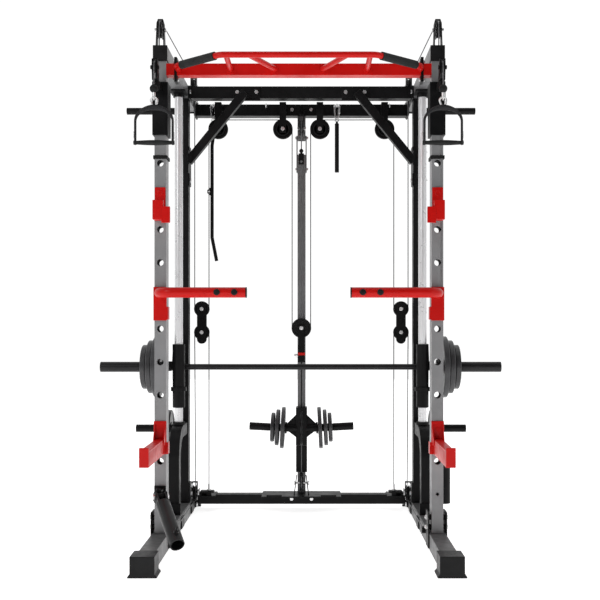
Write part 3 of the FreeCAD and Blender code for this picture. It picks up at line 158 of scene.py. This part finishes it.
def moulded(name, low, high, rough):
    """Moulded plastic: a fine even texture with a slight sheen."""
    shader = Shader(name, specular=0.18)
    shader.colour(shader.noise(12.0, 3.0), low, high)
    shader.rough(shader.noise(50.0), rough - 0.05, rough + 0.08)
    shader.bump(shader.noise(1600.0, 1.0), 0.00008)
    return shader.material


def coated_cable():
    """A steel cable in a thin sleeve, with the lay of its strands showing through."""
    shader = Shader("coated_cable", 0.4, 0.2)
    shader.colour(shader.noise(80.0), (0.10, 0.10, 0.105), (0.15, 0.15, 0.155))
    shader.rough(shader.noise(60.0), 0.35, 0.5)
    wave = shader.add("ShaderNodeTexWave", Vector=shader.place, Scale=110.0)
    wave.bands_direction = "DIAGONAL"
    shader.bump(wave.outputs[0], 0.0003, 0.6)
    return shader.material


def webbing():
    """Woven strap: two crossing sets of fine ribs."""
    shader = Shader("webbing", specular=0.25)
    shader.colour(shader.noise(300.0), (0.012, 0.012, 0.013), (0.03, 0.03, 0.032))
    shader.rough(shader.noise(200.0), 0.7, 0.85)
    under = None
    for direction in ("X", "Z"):
        wave = shader.add("ShaderNodeTexWave", Vector=shader.place, Scale=260.0)
        wave.bands_direction = direction
        under = shader.bump(wave.outputs[0], 0.0004, 0.6, under)
    return shader.material


def knurled(name, centre, radius):
    """Black oxide steel bar with diamond knurling round its X axis."""
    shader = Shader(name, 0.85)
    shader.colour(shader.noise(30.0), (0.02, 0.02, 0.021), (0.05, 0.05, 0.052))
    shader.rough(shader.noise(45.0), 0.32, 0.45)
    axes = shader.add("ShaderNodeSeparateXYZ", Vector=shader.place)
    y = shader.math("SUBTRACT", axes.outputs["Y"], centre.y)
    z = shader.math("SUBTRACT", axes.outputs["Z"], centre.z)
    turn = shader.math("MULTIPLY", shader.math("ARCTAN2", z, y), radius)
    waves = []
    for way in ("ADD", "SUBTRACT"):
        slant = shader.math(way, axes.outputs["X"], turn)
        waves.append(shader.math("SINE", shader.math("MULTIPLY", slant, math.tau / 0.0022)))
    shader.bump(shader.math("MULTIPLY", waves[0], waves[1]), 0.0003, 0.7)
    return shader.material


BLACK = painted("black_powder_coat", (0.0035, 0.0035, 0.0038), (0.006, 0.006, 0.0064), 0.44, specular=0.15)
GREY = painted("silver_grey_paint", (0.235, 0.235, 0.24), (0.28, 0.28, 0.285), 0.42, 0.3, specular=0.35)
MAST_GREY = painted("mast_grey_paint", (0.17, 0.17, 0.173), (0.21, 0.21, 0.213), 0.38, 0.35, specular=0.35)
BEAM_GREY = painted("beam_grey_paint", (0.11, 0.11, 0.113), (0.14, 0.14, 0.144), 0.38, 0.35, specular=0.35)
RAIL_GREY = painted("dark_grey_powder_coat", (0.085, 0.085, 0.086), (0.11, 0.11, 0.112), 0.42, specular=0.3)
RED = painted("red_gloss_paint", (0.50, 0.005, 0.0035), (0.57, 0.007, 0.0055), 0.34, 0.0, 0.04, specular=0.16)
IRON = cast("grey_hammertone", (0.036, 0.036, 0.038), (0.060, 0.060, 0.063))
CHROME = drawn("hard_chrome", (0.86, 0.86, 0.88), (0.93, 0.93, 0.95), 0.14, (1, 1, 0.01), 180.0, 0.000002)
ROD = painted("polished_rod", (0.73, 0.73, 0.74), (0.76, 0.76, 0.77), 0.30, 0.35, peel=0.0)
ZINC = drawn("zinc_plate", (0.80, 0.80, 0.81), (0.93, 0.93, 0.92), 0.34, (1, 1, 1))
RUBBER = rubber("black_rubber", (0.006, 0.006, 0.006), (0.011, 0.011, 0.011))
FOAM = rubber("grip_foam", (0.012, 0.013, 0.013), (0.019, 0.020, 0.020), 420.0, 0.0005)
PLASTIC = moulded("black_moulding", (0.006, 0.006, 0.0065), (0.011, 0.011, 0.0115), 0.42)
NYLON = moulded("wheel_nylon", (0.0045, 0.0045, 0.005), (0.008, 0.008, 0.0085), 0.36)
CABLE = coated_cable()
WEBBING = webbing()


# ---------------------------------------------------------------- painting and rounding the CAD nodes


BEVEL_ANGLE = math.radians(40)  # edges that turn by less than this are not rounded


def loose_parts(mesh):
    """For each face, the box of the loose part that it belongs to. Corners that meet count as joined."""
    keys = {}
    parent = list(range(len(mesh.vertices)))

    def root(i):
        while parent[i] != i:
            parent[i] = parent[parent[i]]
            i = parent[i]
        return i

    for i, vertex in enumerate(mesh.vertices):
        key = tuple(round(c * 1e5) for c in vertex.co)
        parent[i] = root(keys.setdefault(key, i))
    for face in mesh.polygons:
        first = root(face.vertices[0])
        for i in face.vertices[1:]:
            parent[root(i)] = first
    boxes = {}
    for i, vertex in enumerate(mesh.vertices):
        box = boxes.setdefault(root(i), [Vector(vertex.co), Vector(vertex.co)])
        box[0] = Vector(map(min, box[0], vertex.co))
        box[1] = Vector(map(max, box[1], vertex.co))
    return [boxes[root(face.vertices[0])] for face in mesh.polygons]


def round_edges(piece, width, segments=2):
    """Merges the split corners, joins flat neighbours and rounds the sharp edges."""
    piece.modifiers.new("weld", "WELD").merge_threshold = 1e-5
    flat = piece.modifiers.new("flat", "DECIMATE")
    flat.decimate_type = "DISSOLVE"
    flat.angle_limit = math.radians(1.5)
    if width:
        bevel = piece.modifiers.new("bevel", "BEVEL")
        bevel.width = width
        bevel.segments = segments
        bevel.limit_method = "ANGLE"
        bevel.angle_limit = BEVEL_ANGLE
        bevel.use_clamp_overlap = False
    piece.modifiers.new("normals", "WEIGHTED_NORMAL")


def paint(name, main, rules=(), width=0.0008):
    """Gives a CAD node its materials. A rule is a material and a test of a face's centre and part's box."""
    piece = nodes[name]
    mesh = piece.data
    mesh.materials.clear()
    mesh.materials.append(main)
    for material, _ in rules:
        mesh.materials.append(material)
    boxes = loose_parts(mesh) if rules else None
    for i, face in enumerate(mesh.polygons):
        face.use_smooth = True
        face.material_index = 0
        for k, (_, test) in enumerate(rules):
            if test(face.center, *boxes[i]):
                face.material_index = k + 1
                break
    round_edges(piece, width)


def small(length):
    """True for a loose part that is shorter than this."""
    return lambda centre, low, high: (high - low).length < length


def below(z):
    return lambda centre, low, high: centre.z < z


def part_above(z):
    return lambda centre, low, high: low.z > z


WHEEL_FACE = 0.5525  # just in front of the plates beside the crossover's wheels
BLOCK_LOW, BLOCK_HIGH = 0.927, 1.048  # the axles of each side block
BLOCK_MIDDLE = (BLOCK_LOW + BLOCK_HIGH) / 2
THIN = 0.01  # cables in a block or a carriage are thinner than this along Y
LINER = 0.01  # the liners on the spotter arms are thinner than this
HANGER_Z = 2.02  # the spare bars' hangers are above this
FORK_CABLE = 0.006  # the cable in a swivel fork is thinner than this along X
BAR_Y, BAR_Z = 0.304, 0.760  # the bar's own axis, at rest

for wheel in [n for n in nodes if n.endswith(("_wheel", "_wheels"))]:
    paint(wheel, NYLON, width=0.0005)

bar_low, bar_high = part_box("smith_bar")
bar_centre = (bar_low + bar_high) / 2
bar_centre.y = BAR_Y
bar_centre.z = BAR_Z
KNURL = knurled("knurled_bar", bar_centre, 0.014)
SLEEVE = painted("sleeve_satin", (0.014, 0.014, 0.015), (0.022, 0.022, 0.023), 0.38, 0.4, specular=0.3)

paint("base_rails", RAIL_GREY, width=0.002)
paint("end_caps", PLASTIC, width=0.002)
paint("front_uprights", GREY, width=0.0015)
paint("rear_uprights", BLACK, width=0.0015)
paint("top_side_beams", BEAM_GREY, [(PLASTIC, small(0.1))], width=0.0015)
paint("crossbeams", BLACK, width=0.0015)
paint("rear_mast", MAST_GREY, [(BLACK, small(0.5))], width=0.001)
paint("pull_up_bar", RED, width=0.001)
paint("grips_and_stops", FOAM, [(RUBBER, small(0.2))], width=0.001)
paint("guide_rods", ROD, width=0.0)
paint("rod_supports", BLACK)
paint("joint_plates", BLACK)
paint("frame_bolts", ZINC, width=0.0004)
paint("storage_pegs", BLACK)
paint("storage_plates", IRON, width=0.001)
paint("pulley_brackets", BLACK)
paint("cable_runs", CABLE, width=0.0)
paint("cable_falls", CABLE, width=0.0)
paint("smith_sliders", BLACK)
paint("smith_bar", KNURL, [
    (SLEEVE, lambda centre, low, high: min(abs(low.x), abs(high.x)) > 0.66),
    (BLACK, small(0.3)),
])
paint("bar_plates", IRON, [(BLACK, small(0.1))], width=0.001)
paint("carriage_plates", IRON, width=0.001)
paint("weight_carriage", BLACK, [
    (CABLE, lambda centre, low, high: high.y - low.y < THIN),
    (ZINC, lambda centre, low, high: centre.z > 0.9 and centre.y < WHEEL_FACE),
])
paint("selector_pin", ZINC, width=0.0004)
mine_turn = math.radians(25)
mine_axis = Vector((math.cos(mine_turn), math.sin(mine_turn), 0))
mine_pin = Vector((-0.592, -0.335, 0.246)) + 0.034 * Vector((math.sin(mine_turn), -math.cos(mine_turn), 0))
paint("landmine_yoke", BLACK, [
    (ZINC, lambda centre, low, high: abs((Vector(centre) - mine_pin).dot(mine_axis)) > 0.0255),
])
paint("landmine_sleeve", SLEEVE)
paint("lat_bar", BLACK, [(CHROME, part_above(HANGER_Z))])
paint("short_bar", BLACK, [(CHROME, part_above(HANGER_Z))])
for side in SIDES:
    paint(side + "trolley", BLACK)
    paint(side + "trolley_pin", ZINC)
    paint(side + "swivel_yoke", BLACK, [(CABLE, lambda centre, low, high: high.x - low.x < FORK_CABLE)])
    paint(side + "handle", WEBBING, [(CHROME, part_above(1.915)), (FOAM, below(1.735))])
    paint(side + "j_hook", RED, width=0.002)
    paint(side + "spotter_arm", RED, [(PLASTIC, lambda centre, low, high: high.z - low.z < LINER)],
          width=0.0025)
    paint(side + "dip_handle", RED, [(PLASTIC, small(0.08))])
    paint(side + "pulley_block", BLACK, [
        (CABLE, lambda centre, low, high: high.y - low.y < THIN),
        (ZINC, lambda centre, low, high: centre.y < WHEEL_FACE and abs(centre.z - BLOCK_MIDDLE) > 0.03),
    ])


# ---------------------------------------------------------------- fine pieces


def sweep(path, sections, sides=14, closed=False, across=(0, 1, 0)):
    """A tube round a path. Each section is its half sizes along the bend's own side and along across."""
    path = [Vector(point) for point in path]
    across = Vector(across)
    count = len(path)
    corners, faces = [], []
    for i, point in enumerate(path):
        before = path[i - 1] if closed or i else point
        after = path[(i + 1) % count] if closed or i + 1 < count else point
        side = (after - before).normalized().cross(across).normalized()
        half_side, half_across = sections[i]
        for k in range(sides):
            turn = math.tau * k / sides
            corners.append(point + side * half_side * math.cos(turn) + across * half_across * math.sin(turn))
    for i in range(count if closed else count - 1):
        a, b = i * sides, (i + 1) % count * sides
        for k in range(sides):
            n = (k + 1) % sides
            faces.append((a + k, b + k, b + n, a + n))
    if not closed:
        faces.append(tuple(range(sides)))
        faces.append(tuple(range(len(corners) - 1, len(corners) - sides - 1, -1)))
    return corners, faces


def turned(outline, centre, axis, sides=28):
    """An outline of (radius, height) pairs turned round an axis through centre. Its ends are closed."""
    lean = Vector((0, 0, 1)).rotation_difference(Vector(axis))
    corners, faces = [], []
    for radius, height in outline:
        for k in range(sides):
            turn = math.tau * k / sides
            corner = Vector((radius * math.cos(turn), radius * math.sin(turn), height))
            corners.append(lean @ corner + Vector(centre))
    for i in range(len(outline) - 1):
        for k in range(sides):
            n = (k + 1) % sides
            faces.append((i * sides + k, i * sides + n, (i + 1) * sides + n, (i + 1) * sides + k))
    faces.append(tuple(range(sides - 1, -1, -1)))
    faces.append(tuple(range(len(corners) - sides, len(corners))))
    return corners, faces


def block(low, high):
    corners = [(x, y, z) for x in (low[0], high[0]) for y in (low[1], high[1]) for z in (low[2], high[2])]
    return corners, [(0, 1, 3, 2), (4, 6, 7, 5), (0, 4, 5, 1), (2, 3, 7, 6), (0, 2, 6, 4), (1, 5, 7, 3)]


def piece(name, node, body, parts, width=0.0):
    """One object of several closed shapes, each with its material, that rides on a body."""
    mesh = bpy.data.meshes.new(name)
    corners, faces, kinds, materials = [], [], [], []
    for material, (part_corners, part_faces) in parts:
        if material not in materials:
            materials.append(material)
        start = len(corners)
        corners += [tuple(c) for c in part_corners]
        faces += [tuple(i + start for i in face) for face in part_faces]
        kinds += [materials.index(material)] * len(part_faces)
    mesh.from_pydata(corners, [], faces)
    for material in materials:
        mesh.materials.append(material)
    for face, kind in zip(mesh.polygons, kinds):
        face.material_index = kind
        face.use_smooth = True
    made = bpy.data.objects.new(name, mesh)
    bpy.context.scene.collection.objects.link(made)
    if width:
        bevel = made.modifiers.new("bevel", "BEVEL")
        bevel.width = width
        bevel.segments = 2
        bevel.limit_method = "ANGLE"
        bevel.angle_limit = BEVEL_ANGLE
    made.modifiers.new("normals", "WEIGHTED_NORMAL")
    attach(made, body)
    return made


def arc(centre, half_x, half_z, start, end, steps):
    """Points of an ellipse's arc in the XZ plane, from angle start to end, in degrees."""
    points = []
    for k in range(steps + 1):
        turn = math.radians(start + (end - start) * k / steps)
        across, up = half_x * math.cos(turn), half_z * math.sin(turn)
        points.append(Vector((centre[0] + across, centre[1], centre[2] + up)))
    return points


HANDLE_X, HANDLE_Y = 0.602, -0.383
BALL_Z, BALL_R = 1.950, 0.0178
STRAP_TOP, STRAP_SHOULDER, GRIP_Z = 1.872, 1.815, 1.725
STRAP_HALF = 0.078


def snap_ring(x, y, low, high):
    """A pear-shaped snap link that hangs in the XZ plane, wider at its top, with its gate's sleeve."""
    wide, narrow = 0.0145, 0.009
    path = arc((x, y, high - wide), wide, wide, 0, 180, 12)
    path += arc((x, y, low + narrow), narrow, narrow, 180, 360, 10)
    link = sweep(path, [(0.0038, 0.0042)] * len(path), closed=True)
    middle = (low + high) / 2
    gate = turned([(0.0046, -0.010), (0.0056, -0.008), (0.0056, 0.008), (0.0046, 0.010)],
                  (x + 0.0112, y, middle), (0, 0, 1), 16)
    return [link, gate]


def stirrup(x, y):
    """The strap over the hand: thick where it hangs, thin where it comes down to the grip."""
    over = arc((x, y, STRAP_SHOULDER), STRAP_HALF, STRAP_TOP - STRAP_SHOULDER, 0, 180, 28)
    sections = []
    for point in over:
        near_top = max(0.0, 1 - abs(point.x - x) / STRAP_HALF) ** 0.8
        sections.append((0.0048 + 0.0075 * near_top, 0.0125))
    foot = GRIP_Z - 0.008
    path = [Vector((over[0].x, y, foot))] + over + [Vector((over[-1].x, y, foot))]
    sections = sections[:1] + sections + sections[-1:]
    return sweep(path, sections, 20)


def grip(x, y):
    """A foam grip, fuller in its middle, between two end caps that the strap is sewn round."""
    half = STRAP_HALF - 0.004
    count = 20
    outline = [(0.0035, -half)]
    for k in range(count + 1):
        along = -half + 2 * half * k / count
        outline.append((0.0078 + 0.0032 * math.cos(along / half * math.pi / 2), along))
    outline.append((0.0035, half))
    parts = [(FOAM, turned(outline, (x, y, GRIP_Z), (1, 0, 0)))]
    for side in (-1, 1):
        cap = turned([(0.008, -0.006), (0.0095, -0.0045), (0.0095, 0.0045), (0.008, 0.006)],
                     (x + side * (STRAP_HALF + 0.001), y, GRIP_Z), (1, 0, 0))
        parts.append((PLASTIC, cap))
    return parts


def stitches(x, y):
    """Rows of box stitching where the strap is folded round the grip's ends."""
    parts = []
    for side in (-1, 1):
        for row in range(6):
            z = GRIP_Z + 0.018 + row * 0.005
            at = x + side * (STRAP_HALF + 0.0046)
            parts.append((SEAM, block((at - 0.0012, y - 0.009, z), (at + 0.0012, y + 0.009, z + 0.0012))))
    return parts


SEAM = rubber("seam_thread", (0.05, 0.05, 0.052), (0.08, 0.08, 0.084))

for side, word in ((-1, "left_"), (1, "right_")):
    x = side * HANDLE_X
    turns = [math.pi * k / 16 for k in range(1, 16)]
    ball = turned([(BALL_R * math.sin(turn), -BALL_R * math.cos(turn)) for turn in turns],
                  (x, HANDLE_Y, BALL_Z), (0, 0, 1))
    collar = turned([(0.005, -0.034), (0.0062, -0.033), (0.0062, -0.014), (0.005, -0.012)],
                    (x, HANDLE_Y, BALL_Z), (0, 0, 1), 20)
    eye_path = arc((x, HANDLE_Y, BALL_Z - 0.040), 0.0075, 0.0075, 0, 345, 16)
    eye_ring = sweep([Vector((x, HANDLE_Y + (q.x - x), q.z)) for q in eye_path], [(0.0022, 0.0022)] * 17, 10,
                     True, (1, 0, 0))
    parts = [(RUBBER, ball), (ZINC, collar), (ZINC, eye_ring)]
    parts += [(ZINC, shape) for shape in snap_ring(x, HANDLE_Y, STRAP_TOP + 0.003, BALL_Z - 0.036)]
    parts.append((WEBBING, stirrup(x, HANDLE_Y)))
    parts += grip(x, HANDLE_Y) + stitches(x, HANDLE_Y)
    made = piece(word + "cable_handle", word + "handle", word + "handle", parts)
    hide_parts(word + "handle")


# the falls, in stretches that slide into each other as the blocks and the weight travel
CABLE_R = 0.0025
CABLE_Y = 0.567
HIGH_Z = 1.980
FLOAT_Z = 0.949
FALL_X, INNER_X, OUTER_X, FOOT_X = 0.048, 0.479, 0.553, 0.548
REACH = 0.085  # how far a block's own stretch of cable goes over the long fall
FALL_LOW, FALL_HIGH = 0.900, 1.103  # where the long falls stop beside a block


def straight(start, end, radius=CABLE_R):
    return turned([(radius, 0), (radius, (Vector(end) - Vector(start)).length)], start,
                  (Vector(end) - Vector(start)).normalized(), 14)


for side, word in ((-1, "left_"), (1, "right_")):
    fall_x = side * FALL_X
    fall = piece(word + "weight_fall", "cable_falls", "frame",
                 [(CABLE, straight((fall_x, CABLE_Y, FLOAT_Z), (fall_x, CABLE_Y, HIGH_Z)))])
    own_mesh(fall)
    inner, outer, foot = side * INNER_X, side * OUTER_X, side * FOOT_X
    still = [straight((inner, CABLE_Y, FALL_HIGH), (inner, CABLE_Y, HIGH_Z)),
             straight((outer, CABLE_Y, FALL_HIGH), (outer, CABLE_Y, 2.190)),
             straight((inner, CABLE_Y, 0.086), (inner, CABLE_Y, FALL_LOW)),
             straight((foot, CABLE_Y, 0.1003), (outer, CABLE_Y, FALL_LOW))]
    piece(word + "side_falls", "cable_falls", "frame", [(CABLE, shape) for shape in still])
    wide = CABLE_R + 0.0002
    moving = [straight((at, CABLE_Y, z), (at, CABLE_Y, z + way * REACH), wide)
              for z, way in ((BLOCK_HIGH, 1), (BLOCK_LOW, -1)) for at in (inner, outer)]
    piece(word + "block_falls", "cable_falls", word + "pulley_block", [(CABLE, shape) for shape in moving])
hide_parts("cable_falls")


def washer(centre, axis, radius=0.0100, thick=0.0016):
    edge = 0.0004
    return turned([(radius - edge, 0), (radius, edge), (radius, thick - edge), (radius - edge, thick)],
                  centre, axis, 32)


CENTRE_WHEEL_X, OUTER_WHEEL_X, BLOCK_X = 0.096, 0.431, 0.516
WHEEL_R = 0.048
WASHER_Y = 0.553

# washers under the bolts beside the wheels, facing the front
washers = []
for x in (CENTRE_WHEEL_X, OUTER_WHEEL_X):
    for side in (-1, 1):
        washers.append((ZINC, washer((side * x, WASHER_Y, HIGH_Z), (0, -1, 0))))
piece("wheel_washers", "frame_bolts", "frame", washers)
for side, word in ((-1, "left_"), (1, "right_")):
    rings = [(ZINC, washer((side * BLOCK_X, WASHER_Y, z), (0, -1, 0))) for z in (BLOCK_LOW, BLOCK_HIGH)]
    piece(word + "block_washers", word + "pulley_block", word + "pulley_block", rings)
piece("float_washer", "selector_pin", "weight_carriage",
      [(ZINC, washer((0, WASHER_Y, FLOAT_Z), (0, -1, 0)))])

# the raised ring on the face of each wheel that looks at the front
for side, word in ((-1, "left_"), (1, "right_")):
    for name, x in (("centre_wheel", CENTRE_WHEEL_X), ("outer_wheel", OUTER_WHEEL_X)):
        face = turned([(WHEEL_R - 0.012, -0.0005), (WHEEL_R - 0.012, 0.002), (WHEEL_R - 0.014, 0.0026),
                       (WHEEL_R - 0.017, 0.0026), (WHEEL_R - 0.019, 0.002), (WHEEL_R - 0.019, -0.0005)],
                      (side * x, CABLE_Y - 0.008, HIGH_Z), (0, -1, 0), 48)
        piece(word + name + "_ring", word + name, word + name, [(NYLON, face)])

# the red band on the weight's selector block, where its hole is
band = [(RED, block((-0.0186, 0.5562, 0.808), (0.0186, 0.6064, 0.822)))]
piece("selector_band", "weight_carriage", "weight_carriage", band, 0.0006)

# folded cheeks and pressed bosses of the attachments that hang on the front uprights
UPRIGHT_X, UPRIGHT_HALF = 0.592, 0.025
CHEEK = (UPRIGHT_X - UPRIGHT_HALF - 0.0090, UPRIGHT_X - UPRIGHT_HALF - 0.0045)
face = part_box("front_uprights")[0].y


def on_side(side, x, y, z):
    """A block given by its limits from the machine's middle outward, on one side of it."""
    low, high = sorted((side * x[0], side * x[1]))
    return block((low, y[0], z[0]), (high, y[1], z[1]))


def boss(side, y, z):
    outline = [(0.0125, -0.0006), (0.0120, 0.0008), (0.0095, 0.0016), (0.0088, 0.0008), (0.0010, 0.0006)]
    return turned(outline, (side * UPRIGHT_X, y, z), (0, -1, 0), 36)


def fold(side, z):
    """The front and the cheek of a plate that is folded round the upright's inner edge."""
    front = on_side(side, (CHEEK[0], UPRIGHT_X - 0.020), (face - 0.0085, face - 0.0015), z)
    return [(RED, front), (RED, on_side(side, CHEEK, (face - 0.008, face + 0.035), z))]


for side, word in ((-1, "left_"), (1, "right_")):
    hook = [(RED, on_side(side, (0.541, 0.5775), (face - 0.0660, face - 0.0560), (1.396, 1.464))),
            (PLASTIC, on_side(side, (0.541, 0.5720), (face - 0.0560, face - 0.0530), (1.400, 1.460))),
            (RED, boss(side, face - 0.008, 1.529))]
    piece(word + "hook_fold", word + "j_hook", word + "j_hook", hook, 0.0012)
    arm = fold(side, (0.415, 0.465)) + [(RED, boss(side, face - 0.008, 0.521))]
    piece(word + "arm_fold", word + "spotter_arm", word + "spotter_arm", arm, 0.0012)
    piece(word + "dip_fold", word + "dip_handle", word + "dip_handle", fold(side, (0.989, 1.044)), 0.0012)

    # a flat gusset between the corner brace and the front crossbeam
    gusset = on_side(side, (0.204, 0.3286), (0.3895, 0.3935), (2.086, 2.157))
    piece(word + "brace_gusset", "joint_plates", "frame", [(BLACK, gusset)], 0.0012)

    # the low end of the inner fall: an eye bolt through a flat anchor
    anchor = on_side(side, (0.452, 0.522), (0.545, 0.589), (0.098, 0.108))
    outline = [(0.003, 0.0), (0.0095, 0.0), (0.0095, 0.007), (0.0058, 0.008), (0.0058, 0.030), (0.003, 0.034)]
    eye = turned(outline, (side * INNER_X, CABLE_Y, 0.108), (0, 0, 1), 20)
    piece(word + "cable_anchor", "pulley_brackets", "frame", [(BLACK, anchor), (ZINC, eye)], 0.0004)

# broad flanges under the nuts of the landmine's pivot pin
flanges = []
for side in (-1, 1):
    outline = [(0.0040, 0.0), (0.0230, 0.0), (0.0240, 0.0006), (0.0225, 0.0016), (0.0040, 0.0016)]
    flanges.append((BLACK, turned(outline, mine_pin + side * 0.0244 * mine_axis, side * mine_axis, 40)))
piece("landmine_flanges", "landmine_yoke", "landmine_yoke", flanges)

# snap links that the two spare bars hang from
LINK_Y, LINK_LOW, LINK_HIGH = 0.597, 2.040, 2.1145
for x, node in ((-0.460, "lat_bar"), (0.185, "short_bar")):
    link = [(ZINC, shape) for shape in snap_ring(x, LINK_Y, LINK_LOW, LINK_HIGH)]
    piece(node + "_link", node, node, link)

# round plugs in the ends of each dip handle's tubes
for side, word in ((-1, "left_"), (1, "right_")):
    plugs = []
    for x in (0.268, 0.341):
        plug = turned([(0.009, 0), (0.0125, 0.0005), (0.0135, 0.0025), (0.011, 0.0045), (0.006, 0.0055)],
                      (side * x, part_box(word + "dip_handle")[0].y, 1.1025), (0, -1, 0), 28)
        plugs.append((PLASTIC, plug))
    piece(word + "dip_plugs", word + "dip_handle", word + "dip_handle", plugs)


def weld(corners, radius=0.0032):
    """A weld bead round a closed outline: a row of ripples, about one every 4 mm."""
    path = []
    for a, b in zip(corners, corners[1:] + corners[:1]):
        a, b = Vector(a), Vector(b)
        steps = max(2, round((b - a).length / 0.0018))
        path += [a.lerp(b, k / steps) for k in range(steps)]
    sections = []
    for k in range(len(path)):
        swell = radius * (1 + 0.16 * math.sin(k * 1.9) + 0.06 * math.sin(k * 0.37))
        sections.append((swell, swell))
    return sweep(path, sections, 8, True, (1, 0, 0))


beads = []
for side in (-1, 1):
    for x, y, z in ((0.554, (0.393, 0.453), (2.098, 2.158)), (0.554, (0.622, 0.682), (2.062, 2.122)),
                    (0.549, (0.622, 0.682), (0.026, 0.076))):
        at = side * (x - 0.0008)
        outline = [(at, y[0], z[0]), (at, y[1], z[0]), (at, y[1], z[1]), (at, y[0], z[1])]
        beads.append((BLACK, weld(outline)))
piece("weld_beads", "crossbeams", "frame", beads)


# ---------------------------------------------------------------- floor, light and camera


def sun_box(name, place, aim, size, power):
    """A soft square light at a place, turned to face a point."""
    light = bpy.data.lights.new(name, "AREA")
    light.shape = "RECTANGLE"
    light.size, light.size_y = size
    light.energy = power
    lamp = bpy.data.objects.new(name, light)
    bpy.context.scene.collection.objects.link(lamp)
    lamp.location = place
    lamp.rotation_euler = (Vector(aim) - Vector(place)).to_track_quat("-Z", "Y").to_euler()
    return lamp


def make_floor():
    mesh = bpy.data.meshes.new("floor")
    reach = 12.0
    mesh.from_pydata([(-reach, -reach, 0), (reach, -reach, 0), (reach, reach, 0), (-reach, reach, 0)],
                     [], [(0, 1, 2, 3)])
    floor = bpy.data.objects.new("floor", mesh)
    bpy.context.scene.collection.objects.link(floor)
    shader = Shader("pale_floor", specular=0.0)
    shader.colour(shader.noise(0.6), (0.93, 0.93, 0.93), (0.95, 0.95, 0.95))
    shader.main.inputs["Roughness"].default_value = 0.9
    shader.main.inputs["Emission Color"].default_value = (1, 1, 1, 1)
    shader.main.inputs["Emission Strength"].default_value = 0.8
    mesh.materials.append(shader.material)


def make_world():
    """A white room to the eye. It lights dimly from the camera's side, so that black stays black."""
    world = bpy.data.worlds.new("studio")
    bpy.context.scene.world = world
    world.use_nodes = True
    tree = world.node_tree
    tree.nodes.clear()
    output = tree.nodes.new("ShaderNodeOutputWorld")
    seen = tree.nodes.new("ShaderNodeBackground")
    seen.inputs["Color"].default_value = (1, 1, 1, 1)
    seen.inputs["Strength"].default_value = 1.05
    given = tree.nodes.new("ShaderNodeBackground")
    given.inputs["Strength"].default_value = 1.0
    ramp = tree.nodes.new("ShaderNodeValToRGB")
    split = tree.nodes.new("ShaderNodeSeparateXYZ")
    place = tree.nodes.new("ShaderNodeTexCoord")
    stretch = tree.nodes.new("ShaderNodeMapRange")
    stretch.inputs["From Min"].default_value = -1.0
    tree.links.new(place.outputs["Generated"], split.inputs[0])
    tree.links.new(split.outputs["Y"], stretch.inputs["Value"])
    tree.links.new(stretch.outputs[0], ramp.inputs[0])
    ramp.color_ramp.elements[0].position = 0.1
    ramp.color_ramp.elements[0].color = (0.08, 0.08, 0.08, 1)
    ramp.color_ramp.elements[1].position = 0.9
    ramp.color_ramp.elements[1].color = (1, 1, 1, 1)
    for place_y, value in ((0.36, 0.15), (0.52, 0.8)):
        ramp.color_ramp.elements.new(place_y).color = (value, value, value, 1)
    tree.links.new(ramp.outputs[0], given.inputs["Color"])
    rays = tree.nodes.new("ShaderNodeLightPath")
    mix = tree.nodes.new("ShaderNodeMixShader")
    tree.links.new(rays.outputs["Is Camera Ray"], mix.inputs[0])
    tree.links.new(given.outputs[0], mix.inputs[1])
    tree.links.new(seen.outputs[0], mix.inputs[2])
    tree.links.new(mix.outputs[0], output.inputs[0])


def make_camera():
    camera_data = bpy.data.cameras.new("camera")
    camera_data.lens = 55.8
    camera_data.sensor_width = 36.0
    camera_data.shift_x = -0.0216
    camera_data.shift_y = 0.04
    camera = bpy.data.objects.new("camera", camera_data)
    bpy.context.scene.collection.objects.link(camera)
    camera.location = (0.060, -4.255, 0.970)
    camera.rotation_euler = (math.radians(90), 0, 0)
    bpy.context.scene.camera = camera


make_floor()
make_world()
make_camera()
sun_box("key", (-3.0, -3.4, 3.2), (0, 0, 1.0), (1.6, 2.4), 52)
sun_box("fill", (3.6, -2.6, 2.0), (0, 0, 1.0), (1.2, 2.4), 12)
sun_box("top", (0.0, -0.4, 4.4), (0, 0, 0.5), (3.0, 3.0), 18)
bpy.context.scene.view_settings.view_transform = "Standard"
